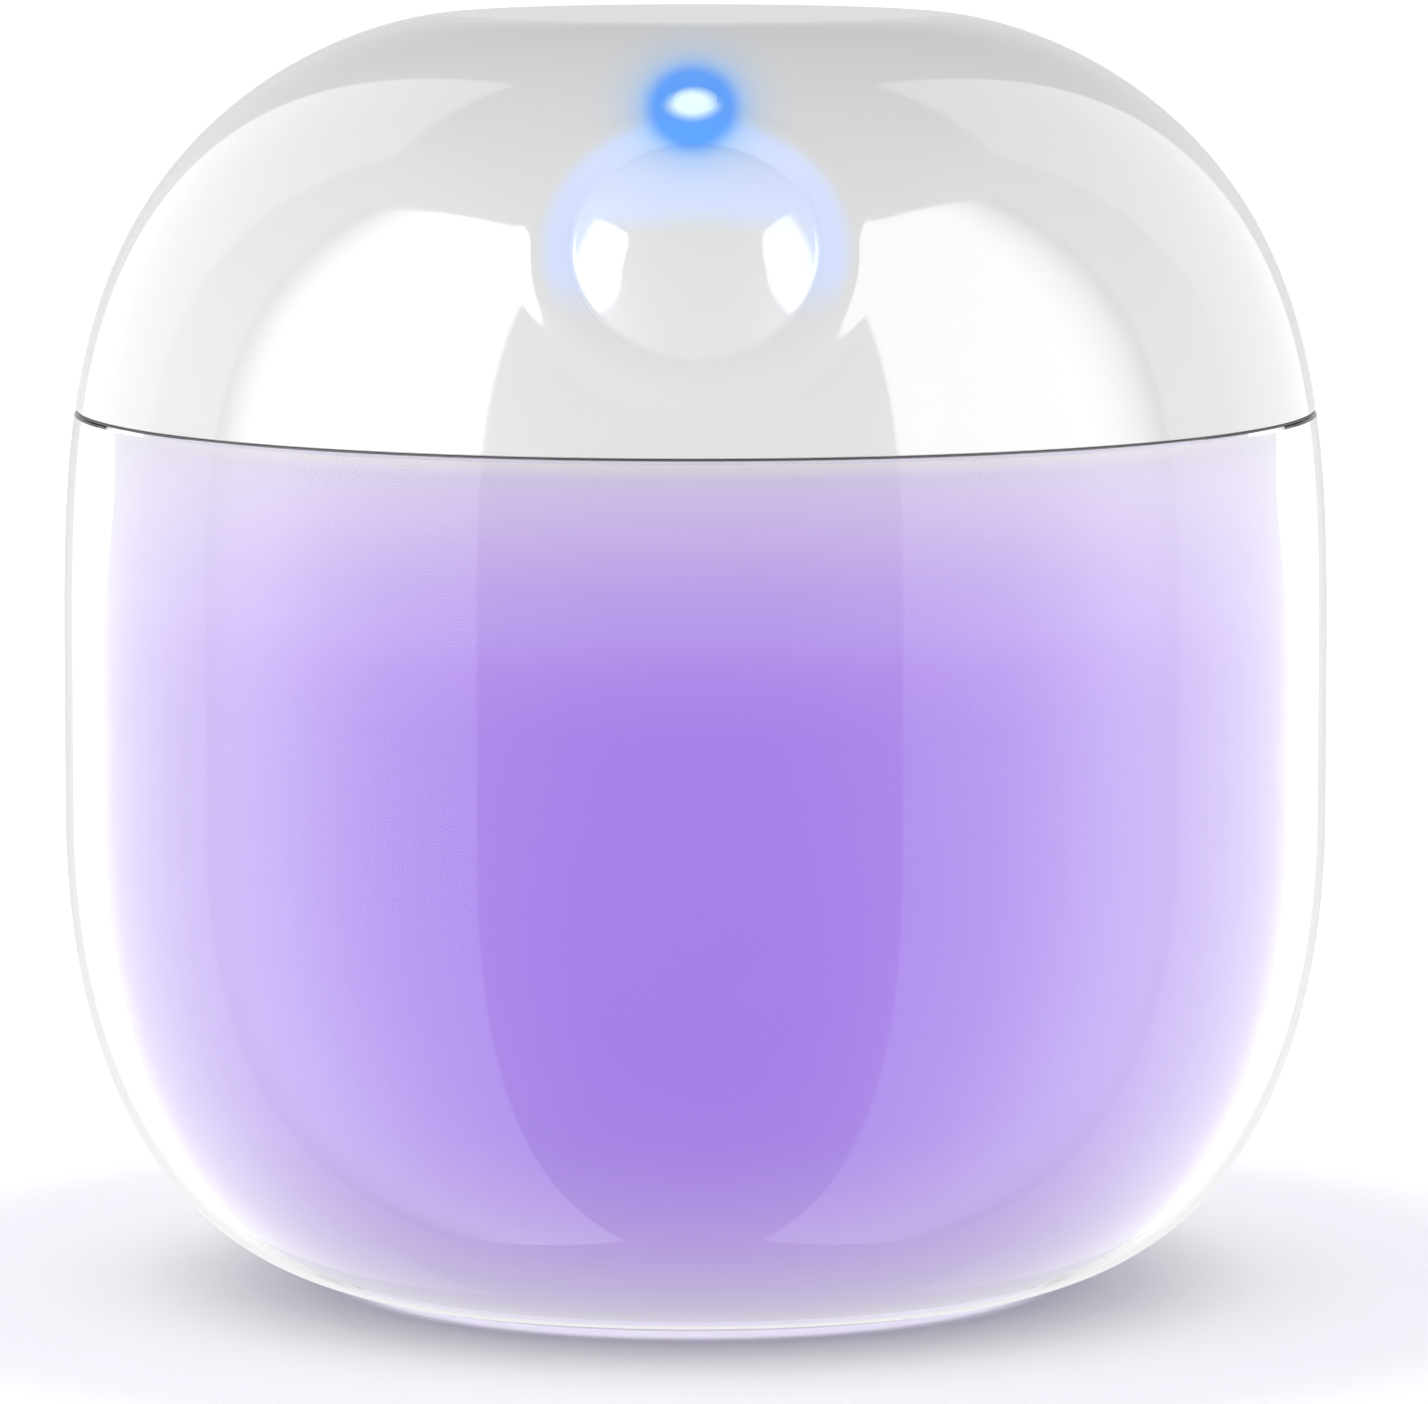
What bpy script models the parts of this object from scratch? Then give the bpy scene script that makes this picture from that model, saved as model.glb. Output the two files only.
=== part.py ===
"""Portable pacifier sterilizer case: a clear bowl with an inner chamber, under a hinged lid with the lamps.

Metres, +Z up, the front faces -Y, and the origin is the middle of the foot on the table.
The pieces of the lid hang on the empty lid_hinge, and the button and its stem on the empty button_axis.
"""

import math

import bmesh
import bpy
from mathutils import Vector

# Clearances and finish shared by all pieces
seat_gap = 0.0003
close_gap = 0.00015
overrun = 0.002
weld_distance = 0.000001
sharp_angle = math.radians(32)

# Outline of the closed case: a turned form with a flat top, rounded shoulders and a nearly flat foot
case_radius = 0.034
case_height = 0.0684
seam_gap = 0.00015
seam_height_share = 0.69152
shoulder_start_share = 0.45980
bowl_start_share = 0.37485
top_flat_share = 0.38235
foot_flat_share = 0.40882
shoulder_rise_power = 3.505
shoulder_side_power = 1.628
bowl_drop_power = 2.167
bowl_side_power = 2.714

# Pieces with so many cuts that the EXACT solver fails on them
many_cut_pieces = ("lid_core", "lid_shell", "lid_liner")

# Facets
shell_segments = 48
inner_segments = 36
button_segments = 32
small_segments = 20
screw_segments = 8

# Clear outer bowl and the soft pad under it
bowl_wall = 0.0018
bowl_floor = 0.0018
foot_overlap = 0.0054
foot_thickness = 0.0012

# Chamber cup, which hangs inside the bowl with an air gap
cup_air_gap = 0.0010
cup_wall = 0.0012
cup_flange_thickness = 0.0008

# Rim ring that closes the top of the bowl and carries the hinge ears
rim_height = 0.0030
rim_drop = 0.0001
rim_band = 0.0080
rim_edge = 0.0008

# Hinge at the back
hinge_barrel_radius = 0.0021
hinge_pin_radius = 0.0007
hinge_pin_inset = 0.0004
lid_knuckle_length = 0.0080
ear_width = 0.0040
ear_root = 0.0020
ear_depth = 0.0028
knuckle_root_height = 0.0042
knuckle_root_depth = 0.0026
knuckle_back = 0.0006
knuckle_lift = 0.00035
knuckle_fair_turn = math.radians(40)
knuckle_play = 0.0003

# Magnets that hold the lid shut, one pair on each side of the front
magnet_length = 0.0050
magnet_width = 0.0020
magnet_thickness = 0.0012
magnet_seal_distance = 0.0006
magnet_cover = 0.0005
magnet_angles = {"left": math.radians(-118), "right": math.radians(-62)}

# White lid
lid_wall = 0.0018

# Liner under the lid: a flat flange, then a dish with the lamp window in its roof
liner_setback = 0.0002
flange_thickness = 0.0019
dish_land = 0.0025
dish_roof_share = 0.674
dish_depth_share = 0.2133
liner_wall = 0.0012
dish_thickening = 0.0004
collar_wall = 0.0014

# Seal in the liner's groove
gasket_edge = 0.00036
gasket_width = 0.0012
gasket_height = 0.0010
gasket_lip_share = 0.25

# Lamp window and lamp board
window_share = 0.413
window_seat = 0.0010
window_thickness = 0.0010
lamp_size = 0.0035
lamp_height = 0.0010
lamp_corner_share = 0.125
lamp_spacing = 0.0052
lamp_clearance = 0.0004
lamp_board_width_share = 1.261
lamp_board_depth_share = 0.8696
lamp_board_corner = 0.0040
lamp_board_thickness = 0.0010
lamp_board_screw_share = 0.548
lamp_board_post_radius = 0.0016
lamp_board_post_drop = 0.0002

# Control board on three posts of the liner
board_spacing_share = 0.0995
control_board_share = 0.978
control_board_thickness = 0.0010
control_board_clearance = 0.0018
socket_tab_width = 0.0120
socket_tab_inset = 0.0039
light_tab_width = 0.0044
light_tab_margin = 0.0010
board_post_radius = 0.0018
board_post_shares = [(-0.348, 0.587), (0.348, 0.587), (0.0, -0.600)]
chip_size = 0.0050
chip_height = 0.0012
chip_gap = 0.0005
chip_side_share = 0.50
sensor_size = 0.0016
sensor_height = 0.0008
sensor_side_share = -0.60

# Battery and its foam pad
battery_length_share = 1.13
battery_width_share = 0.783
battery_corner = 0.0020
pad_room = 0.0017
pad_length_share = 0.69
pad_width_share = 0.61

# Charging socket under the back edge of the control board
socket_width = 0.00894
socket_height = 0.0032
socket_depth = 0.0073
socket_wall = 0.0003
socket_cavity = 0.0062
socket_recess = 0.0017
socket_clearance = 0.00025
tongue_width = 0.0067
tongue_thickness = 0.0007
tongue_inset = 0.0006

# Push button, its dished surround and its collar behind the lid wall
button_diameter_share = 0.7488
button_bottom_share = 0.1659
button_ring_width = 0.00155
dome_height = 0.0035
dome_sink = 0.0007
dome_gap = 0.00025
dish_slope = 530.0
dish_reach = 0.0028
button_collar_wall = 0.00205
button_collar_depth = 0.0020
button_flange_width = 0.0007
button_flange_thickness = 0.0008
button_skirt_wall = 0.0012
button_post_radius = 0.0016
button_roof = 0.0014

# Switch behind the button
switch_size = 0.0060
switch_height = 0.00195
switch_stem_radius = 0.0017
switch_stem_height = 0.0010
switch_stem_sink = 0.0005
switch_travel_room = 0.0007
button_board_edge = 0.0018
button_board_above = 0.0050
button_board_clearance = 0.0006
button_board_thickness = 0.0010
button_board_post_distance = 0.0012
button_board_post_radius = 0.0015

# Indicator light and its light pipe
light_offset = 0.00136
light_radius = 0.00112
light_head_share = 0.457
light_crown_share = 0.67
light_stem_radius = 0.0005
light_crown = 0.00008
indicator_length = 0.0016
indicator_width = 0.0008
indicator_height = 0.0006

# Screws
liner_boss_radius = 0.0022
liner_boss_inset = 0.00526
liner_boss_angles = [math.radians(angle) for angle in (41, 139, 221, 319)]
liner_screw_length = 0.0058
board_screw_length = 0.0040
screw_shank_radius = 0.00075
screw_head_radius = 0.0017
screw_head_height = 0.0009
screw_crown_share = 0.33
pilot_gap = 0.0002


# Outline places
seam_height = case_height * seam_height_share
shoulder_start = case_height * shoulder_start_share
bowl_start = case_height * bowl_start_share
top_flat_radius = case_radius * top_flat_share
foot_flat_radius = case_radius * foot_flat_share
lid_height = case_height - seam_height


# Colours and finishes


def finish(name, colour, roughness, metallic=0.0, transmission=0.0, glow=0.0):
    """A Principled material in one colour."""
    made = bpy.data.materials.new(name)
    made.use_nodes = True
    shader = made.node_tree.nodes["Principled BSDF"]
    shader.inputs["Base Color"].default_value = (*colour, 1)
    shader.inputs["Roughness"].default_value = roughness
    shader.inputs["Metallic"].default_value = metallic
    shader.inputs["Transmission Weight"].default_value = transmission
    shader.inputs["Emission Color"].default_value = (*colour, 1)
    shader.inputs["Emission Strength"].default_value = glow
    made.diffuse_color = (*colour, 1)
    return made


def make_finishes():
    """Every finish that the pieces use, by name."""
    return {
        "white_gloss": finish("white_gloss", (0.80, 0.80, 0.80), 0.12),
        "white_satin": finish("white_satin", (0.82, 0.82, 0.83), 0.35),
        "clear_plastic": finish("clear_plastic", (0.95, 0.93, 0.98), 0.05, transmission=0.9),
        "violet_cup": finish("violet_cup", (0.42, 0.27, 0.80), 0.25, glow=0.3),
        "soft_grey": finish("soft_grey", (0.62, 0.61, 0.66), 0.6),
        "dark_seal": finish("dark_seal", (0.05, 0.05, 0.055), 0.7),
        "steel": finish("steel", (0.55, 0.55, 0.57), 0.25, metallic=1.0),
        "magnet": finish("magnet", (0.45, 0.45, 0.47), 0.3, metallic=1.0),
        "quartz": finish("quartz", (0.96, 0.96, 0.98), 0.03, transmission=0.95),
        "white_board": finish("white_board", (0.80, 0.80, 0.78), 0.45),
        "green_board": finish("green_board", (0.03, 0.20, 0.09), 0.45),
        "lamp_package": finish("lamp_package", (0.72, 0.66, 0.45), 0.4),
        "chip": finish("chip", (0.03, 0.03, 0.03), 0.5),
        "foil": finish("foil", (0.62, 0.63, 0.65), 0.35, metallic=0.8),
        "foam": finish("foam", (0.12, 0.12, 0.13), 0.9),
        "blue_light": finish("blue_light", (0.05, 0.30, 1.0), 0.1, glow=3.0),
        "button_white": finish("button_white", (0.80, 0.80, 0.81), 0.15),
        "switch_black": finish("switch_black", (0.04, 0.04, 0.04), 0.5),
    }


# The outline of the case and places on it


def upper_turn(height, depth=0.0):
    """The angle along the shoulder curve at which it reaches a height, on the outline moved in by depth."""
    rise = (height - shoulder_start) / (case_height - shoulder_start - depth)
    return math.asin(rise ** (shoulder_rise_power / 2))


def upper_point(turn, depth=0.0):
    """(radius, height) on the shoulder curve: the upright wall at turn 0, the flat top at a quarter turn."""
    across = max(math.cos(turn), 0) ** (2 / shoulder_side_power)
    along = math.sin(turn) ** (2 / shoulder_rise_power)
    radius = top_flat_radius + (case_radius - top_flat_radius - depth) * across
    return radius, shoulder_start + (case_height - shoulder_start - depth) * along


def lower_turn(radius, depth=0.0):
    """The angle along the bowl curve at which it reaches a radius."""
    across = (radius - foot_flat_radius) / (case_radius - foot_flat_radius - depth)
    return math.acos(across ** (bowl_side_power / 2))


def lower_point(turn, depth=0.0, floor=0.0):
    """(radius, height) on the bowl curve, from the upright wall at 0 to the floor at a quarter turn."""
    across = max(math.cos(turn), 0) ** (2 / bowl_side_power)
    along = math.sin(turn) ** (2 / bowl_drop_power)
    radius = foot_flat_radius + (case_radius - foot_flat_radius - depth) * across
    return radius, bowl_start - (bowl_start - floor) * along


def steps(start, end, count):
    """Evenly spaced values from start to end, both included."""
    return [start + (end - start) * index / count for index in range(count + 1)]


def wall_radius(height, depth):
    """Radius of the outline, moved in by depth, at a height on the shoulder curve."""
    return upper_point(upper_turn(height, depth), depth)[0]


def bowl_outline(top, depth, floor, end_radius, upright_steps, curve_steps):
    """The outline from a height above the upright wall down to the floor at end_radius."""
    upright = [upper_point(turn, depth) for turn in steps(upper_turn(top, depth), 0, upright_steps)]
    bend = [lower_point(turn, depth, floor) for turn in steps(0, lower_turn(end_radius, depth), curve_steps)]
    return upright + bend


def dome_outline(bottom, depth, curve_steps):
    """The outline from the middle of the flat top out and down to a height on the shoulder curve."""
    curve = [upper_point(turn, depth) for turn in steps(math.pi / 2, upper_turn(bottom, depth), curve_steps)]
    return [(0, case_height - depth)] + curve


def turn_beyond(start, distance):
    """The angle along the shoulder curve whose point lies a straight distance above the point at start."""
    low, high = start, math.pi / 2
    origin = Vector(upper_point(start))
    for _ in range(48):
        middle = (low + high) / 2
        if (Vector(upper_point(middle)) - origin).length < distance:
            low = middle
        else:
            high = middle
    return low


def frame_of_front(point, tilt):
    """Location and rotation of a local frame on the front whose Z points out, tilt above the horizon."""
    radius, height = point
    return Vector((0, -radius, height)), (math.pi / 2 - tilt, 0, 0)


# Turns that lay a shape's Z along the world's X, or along -Y
along_x = (math.pi / 2, 0, math.pi / 2)
facing_front = (math.pi / 2, 0, 0)

# Places that several pieces share
base_top = seam_height - seam_gap / 2
lid_bottom = seam_height + seam_gap / 2
hinge_place = Vector((0, case_radius, seam_height))
hinge_half_length = lid_knuckle_length / 2 + seat_gap + ear_width
bowl_inner_floor = foot_thickness + seat_gap + bowl_floor
rim_top = base_top - rim_drop
rim_bottom = rim_top - rim_height
rim_radius = wall_radius(base_top, bowl_wall) - seat_gap
rim_mouth_radius = case_radius - rim_band
foot_radius = foot_flat_radius + foot_overlap
liner_bottom = seam_height + liner_setback
liner_top = liner_bottom + flange_thickness
liner_radius = wall_radius(liner_top, lid_wall) - seat_gap
gasket_inner_radius = liner_radius - gasket_edge - gasket_width
magnet_circle_radius = gasket_inner_radius - magnet_seal_distance - magnet_width / 2
liner_boss_circle = liner_radius - liner_boss_inset
dish_rim_radius = liner_boss_circle - dish_land
dish_roof_radius = dish_rim_radius * dish_roof_share
dish_roof = liner_bottom + lid_height * dish_depth_share
window_radius = dish_rim_radius * window_share
window_opening_radius = window_radius - window_seat
lamp_board_width = dish_rim_radius * lamp_board_width_share
lamp_board_depth = dish_rim_radius * lamp_board_depth_share
lamp_board_screw_offset = dish_rim_radius * lamp_board_screw_share
roof_top = dish_roof + liner_wall
window_bottom = roof_top + close_gap
window_top = window_bottom + window_thickness
lamp_bottom = window_top + lamp_clearance
lamp_board_bottom = lamp_bottom + lamp_height + close_gap
lamp_board_top = lamp_board_bottom + lamp_board_thickness
collar_top = lamp_board_bottom - close_gap
board_spacing = lid_height * board_spacing_share
control_board_bottom = lamp_board_top + board_spacing
control_board_radius = dish_rim_radius * control_board_share
board_post_places = [(dish_rim_radius * x, dish_rim_radius * y) for x, y in board_post_shares]
control_board_top = control_board_bottom + control_board_thickness
socket_middle = control_board_bottom - close_gap - socket_height / 2
socket_mouth = wall_radius(socket_middle, 0) - socket_recess
socket_tab_reach = socket_mouth - socket_tab_inset
lid_roof = case_height - lid_wall
battery_bottom = control_board_top + seat_gap
battery_top = lid_roof - pad_room
battery_length = dish_rim_radius * battery_length_share
battery_width = dish_rim_radius * battery_width_share
pad_length = battery_length * pad_length_share
pad_width = battery_width * pad_width_share
chip_place = (dish_rim_radius * chip_side_share, -battery_width / 2 - chip_gap - chip_size / 2)
sensor_place = (dish_rim_radius * sensor_side_share, dish_rim_radius * sensor_side_share)

button_diameter = lid_height * button_diameter_share
dome_radius = button_diameter / 2 - button_ring_width
button_collar_radius = dome_radius + button_collar_wall
button_flange_radius = dome_radius + button_flange_width
button_board_post_offset = button_collar_radius + button_board_post_distance
button_board_half_width = button_board_post_offset + button_board_edge
button_low_turn = upper_turn(seam_height + lid_height * button_bottom_share)
button_high_turn = turn_beyond(button_low_turn, button_diameter)
button_low = Vector(upper_point(button_low_turn))
button_high = Vector(upper_point(button_high_turn))
button_middle = (button_low + button_high) / 2
button_tilt = math.atan2(button_low.x - button_high.x, button_high.y - button_low.y)
light_turn = turn_beyond(button_high_turn, light_offset)
light_point = Vector(upper_point(light_turn))
light_slope = Vector(upper_point(turn_beyond(light_turn, light_radius))) - button_high
light_tilt = math.atan2(-light_slope.x, light_slope.y)

button_flange_top = -button_collar_depth - seat_gap
button_flange_bottom = button_flange_top - button_flange_thickness
stem_top = button_flange_bottom - seat_gap
switch_top = stem_top - switch_stem_height
switch_bottom = switch_top - switch_height
button_board_face = switch_bottom - close_gap
button_board_back = button_board_face - button_board_thickness
button_board_room = button_middle.y + button_board_back * math.sin(button_tilt) - liner_top
button_board_below = (button_board_room - button_board_clearance) / math.cos(button_tilt)
button_board_lean = button_board_back * math.cos(button_tilt) - button_board_above * math.sin(button_tilt)
control_board_front = button_middle.x + button_board_lean - control_board_clearance

indicator_top = control_board_top + close_gap + indicator_height
light_length = (light_point.y - indicator_top - close_gap - light_stem_radius) / math.sin(light_tilt)
light_head_length = light_length * light_head_share
indicator_reach = light_point.x - light_length * math.cos(light_tilt)


# Making and joining shapes


def add_object(name, mesh):
    made = bpy.data.objects.new(name, mesh)
    bpy.context.scene.collection.objects.link(made)
    return made


def mesh_from(name, work):
    """The finished mesh of a bmesh, with its faces pointing out and its round faces smooth."""
    bmesh.ops.remove_doubles(work, verts=work.verts, dist=weld_distance)
    bmesh.ops.recalc_face_normals(work, faces=work.faces)
    mesh = bpy.data.meshes.new(name)
    work.to_mesh(mesh)
    work.free()
    mesh.shade_smooth()
    mesh.set_sharp_from_angle(angle=sharp_angle)
    return mesh


def turned(name, outline, segments, ring=False):
    """A solid turned round Z from an outline of (radius, height) points, closed on itself for a ring."""
    work = bmesh.new()
    points = [work.verts.new((radius, 0, height)) for radius, height in outline]
    pairs = list(zip(points, points[1:]))
    if ring:
        pairs.append((points[-1], points[0]))
    edges = [work.edges.new(pair) for pair in pairs]
    bmesh.ops.spin(
        work, geom=points + edges, cent=(0, 0, 0), axis=(0, 0, 1), angle=2 * math.pi, steps=segments
    )
    return add_object(name, mesh_from(name, work))


def rod(name, radius, bottom, top, segments=small_segments):
    """A plain cylinder along Z."""
    return turned(name, [(0, top), (radius, top), (radius, bottom), (0, bottom)], segments)


def plate(name, outline, bottom, top):
    """A flat outline of (x, y) points, extruded from bottom to top."""
    work = bmesh.new()
    face = work.faces.new([work.verts.new((x, y, bottom)) for x, y in outline])
    raised = bmesh.ops.extrude_face_region(work, geom=[face])["geom"]
    corners = [part for part in raised if isinstance(part, bmesh.types.BMVert)]
    bmesh.ops.translate(work, verts=corners, vec=(0, 0, top - bottom))
    return add_object(name, mesh_from(name, work))


def rectangle(width, depth, corner=0.0, corner_steps=4):
    """The outline of a rectangle round the origin, with rounded corners if corner isn't zero."""
    if not corner:
        return [(sx * width / 2, sy * depth / 2) for sx, sy in ((1, 1), (-1, 1), (-1, -1), (1, -1))]
    outline = []
    for quarter, (sx, sy) in enumerate(((1, 1), (-1, 1), (-1, -1), (1, -1))):
        for turn in steps(quarter * math.pi / 2, (quarter + 1) * math.pi / 2, corner_steps):
            x = sx * (width / 2 - corner) + corner * math.cos(turn)
            y = sy * (depth / 2 - corner) + corner * math.sin(turn)
            outline.append((x, y))
    return outline


def moved(outline, x, y):
    return [(px + x, py + y) for px, py in outline]


def block(name, low, high):
    """A box from its lowest to its highest corner."""
    outline = [(low[0], low[1]), (high[0], low[1]), (high[0], high[1]), (low[0], high[1])]
    return plate(name, outline, low[2], high[2])


def helper(obj):
    """Marks a cutter or an added shape, which isn't a piece by itself."""
    obj.hide_render = True
    obj.display_type = "WIRE"
    return obj


def combine(target, operation, shapes):
    """Cuts or joins shapes. Where many cuts share a face, the EXACT solver leaves slits, so MANIFOLD does it."""
    for shape in shapes:
        helper(shape)
        step = target.modifiers.new(shape.name, "BOOLEAN")
        step.operation = operation
        step.solver = "MANIFOLD" if target.name in many_cut_pieces else "EXACT"
        step.object = shape


def cut(target, *shapes):
    combine(target, "DIFFERENCE", shapes)


def join(target, *shapes):
    combine(target, "UNION", shapes)


def knuckle(name, start, end, root_depth, root_height, root_back, side):
    """A hinge knuckle along X: a round barrel faired into a root, which stands above (1) or below (-1) it."""
    outline = []
    for turn in steps(knuckle_fair_turn, -math.pi, 11):
        outline.append((hinge_barrel_radius * math.cos(turn), side * hinge_barrel_radius * math.sin(turn)))
    outline.append((-root_depth, side * knuckle_lift))
    outline.append((-root_depth, side * root_height))
    outline.append((-root_back, side * root_height))
    return plate(name, outline, start, end)


def empty(name, location, rotation=(0, 0, 0), parent=None):
    made = add_object(name, None)
    made.empty_display_size = hinge_barrel_radius
    place(made, parent, location, rotation)
    return made


def place(obj, parent, location=(0, 0, 0), rotation=(0, 0, 0)):
    """Sets the object's place in the world; a parent here is never turned against the world."""
    obj.parent = parent
    obj.location = Vector(location) - (parent.location if parent else Vector((0, 0, 0)))
    obj.rotation_euler = rotation
    return obj


def attach(obj, frame, location=(0, 0, 0), rotation=(0, 0, 0)):
    """Sets the object's place in the local frame of a turned empty."""
    obj.parent = frame
    obj.location = location
    obj.rotation_euler = rotation
    return obj


def paint(obj, material):
    obj.data.materials.append(material)
    return obj


def screw(name, length, material):
    """A pan-head screw whose head stands above Z 0 and whose shank hangs below it."""
    crown = screw_head_height * screw_crown_share
    outline = [
        (0, screw_head_height),
        (screw_head_radius - crown, screw_head_height),
        (screw_head_radius, screw_head_height - crown),
        (screw_head_radius, 0),
        (screw_shank_radius, 0),
        (screw_shank_radius, screw_shank_radius - length),
        (0, -length),
    ]
    return paint(turned(name, outline, screw_segments), material)


def around(radius, angle, height=0.0):
    return Vector((radius * math.cos(angle), radius * math.sin(angle), height))


# The base


def make_bowl(finishes):
    """The clear outer bowl: one turned wall with a recess for the foot pad and a notch for the hinge."""
    recess_radius = foot_radius + seat_gap
    recess_top = foot_thickness + seat_gap
    inner = bowl_outline(base_top, bowl_wall, bowl_inner_floor, foot_flat_radius, 2, 6)
    outer = bowl_outline(base_top, 0, 0, recess_radius, 3, 7)
    outline = [(0, bowl_inner_floor)] + inner[::-1] + outer + [(recess_radius, recess_top), (0, recess_top)]
    bowl = paint(turned("base_shell", outline, shell_segments), finishes["clear_plastic"])
    notch_bottom = rim_top - ear_depth - seat_gap
    reach = hinge_half_length + seat_gap
    notch = block(
        "bowl_hinge_notch",
        (-reach, rim_radius - ear_root, notch_bottom),
        (reach, case_radius + overrun, base_top + overrun),
    )
    cut(bowl, notch)
    return bowl


def make_foot(finishes):
    """The soft pad in the bowl's recess: its flat middle stands on the table, its edge follows the bowl."""
    edge = [lower_point(turn) for turn in steps(lower_turn(foot_radius), math.pi / 2, 4)]
    outline = [(0, foot_thickness), (foot_radius, foot_thickness)] + edge + [(0, 0)]
    return paint(turned("foot_pad", outline, inner_segments), finishes["soft_grey"])


def make_cup(finishes):
    """The chamber cup: a thin wall that stands on the bowl's floor, with a flange under the rim ring."""
    flange_top = rim_bottom - close_gap
    flange_bottom = flange_top - cup_flange_thickness
    depth = bowl_wall + cup_air_gap
    floor = bowl_inner_floor + seat_gap
    outer = bowl_outline(flange_bottom, depth, floor, foot_flat_radius, 1, 5)
    inner = bowl_outline(flange_top, depth + cup_wall, floor + cup_wall, foot_flat_radius, 2, 6)
    flange = [(rim_radius, flange_top), (rim_radius, flange_bottom)]
    outline = [(0, floor + cup_wall)] + inner[::-1] + flange + outer + [(0, floor)]
    return paint(turned("chamber_cup", outline, inner_segments), finishes["violet_cup"])


def make_rim(finishes):
    """The ring that closes the gap between bowl and cup, with the two hinge ears and the magnet pockets."""
    outline = [
        (rim_mouth_radius + rim_edge, rim_top),
        (rim_radius, rim_top),
        (rim_radius, rim_bottom),
        (rim_mouth_radius + rim_edge, rim_bottom),
        (rim_mouth_radius, rim_bottom + rim_edge),
        (rim_mouth_radius, rim_top - rim_edge),
    ]
    rim = paint(turned("base_rim", outline, inner_segments, ring=True), finishes["white_satin"])
    for side, name in ((-1, "left"), (1, "right")):
        inner_end = lid_knuckle_length / 2 + seat_gap
        start, end = sorted((side * inner_end, side * (inner_end + ear_width)))
        root_depth = hinge_place.y - rim_radius + ear_root
        root_height = hinge_place.z - rim_top + ear_depth
        ear = knuckle(f"ear_{name}", start, end, root_depth, root_height, 0, -1)
        join(rim, place(ear, None, hinge_place, along_x))
    bore_end = hinge_half_length + overrun
    bore = rod("ear_bore", hinge_pin_radius + close_gap, -bore_end, bore_end)
    cut(rim, place(bore, None, hinge_place, along_x))
    for name, angle in magnet_angles.items():
        pocket = block(
            f"rim_magnet_pocket_{name}",
            (-magnet_width / 2 - close_gap, -magnet_length / 2 - close_gap, rim_bottom - overrun),
            (magnet_width / 2 + close_gap, magnet_length / 2 + close_gap, rim_top - magnet_cover),
        )
        place(pocket, None, around(magnet_circle_radius, angle), (0, 0, angle))
        cut(rim, pocket)
    return rim


def make_magnet(name, angle, bottom, finishes):
    shape = rectangle(magnet_width, magnet_length)
    magnet = paint(plate(name, shape, bottom, bottom + magnet_thickness), finishes["magnet"])
    return magnet, around(magnet_circle_radius, angle), (0, 0, angle)


def make_base(finishes):
    make_bowl(finishes)
    make_foot(finishes)
    make_cup(finishes)
    make_rim(finishes)
    for name, angle in magnet_angles.items():
        bottom = rim_top - magnet_cover - close_gap - magnet_thickness
        magnet, location, rotation = make_magnet(f"base_magnet_{name}", angle, bottom, finishes)
        place(magnet, None, location, rotation)
    half_length = hinge_half_length - hinge_pin_inset
    pin = paint(rod("hinge_pin", hinge_pin_radius, -half_length, half_length), finishes["steel"])
    place(pin, None, hinge_place, along_x)


# The lid


def make_lid_core(hinge, button_axis):
    """The hollow of the lid, with holes where the bosses and the button's collar stay standing."""
    outline = dome_outline(lid_bottom, lid_wall, 7)
    outline += [(outline[-1][0], lid_bottom - overrun), (0, lid_bottom - overrun)]
    core = helper(place(turned("lid_core", outline, shell_segments), hinge))
    for number, angle in enumerate(liner_boss_angles, 1):
        boss = rod(f"liner_boss_{number}", liner_boss_radius, liner_top + seat_gap, case_height)
        cut(core, place(boss, hinge, around(liner_boss_circle, angle)))
    collar = rod("button_collar", button_collar_radius, -button_collar_depth, button_collar_radius)
    cut(core, attach(collar, button_axis))
    for side, name in ((-1, "left"), (1, "right")):
        post = rod(f"button_post_{name}", button_board_post_radius, button_board_face + close_gap, 0)
        cut(core, attach(post, button_axis, (side * button_board_post_offset, 0, 0)))
    return core


def make_button_dish():
    """Cutter for the shallow dish round the button, and for the hole through its floor."""
    hole = dome_radius + dome_gap
    rim = [(hole + reach, dish_slope * reach**2 - dome_sink) for reach in steps(dish_reach, 0, 6)]
    top = rim[0][1] + overrun
    bottom = -button_collar_depth - overrun
    outline = [(0, top), (rim[0][0], top)] + rim + [(hole, bottom), (0, bottom)]
    return turned("button_dish", outline, button_segments)


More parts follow.
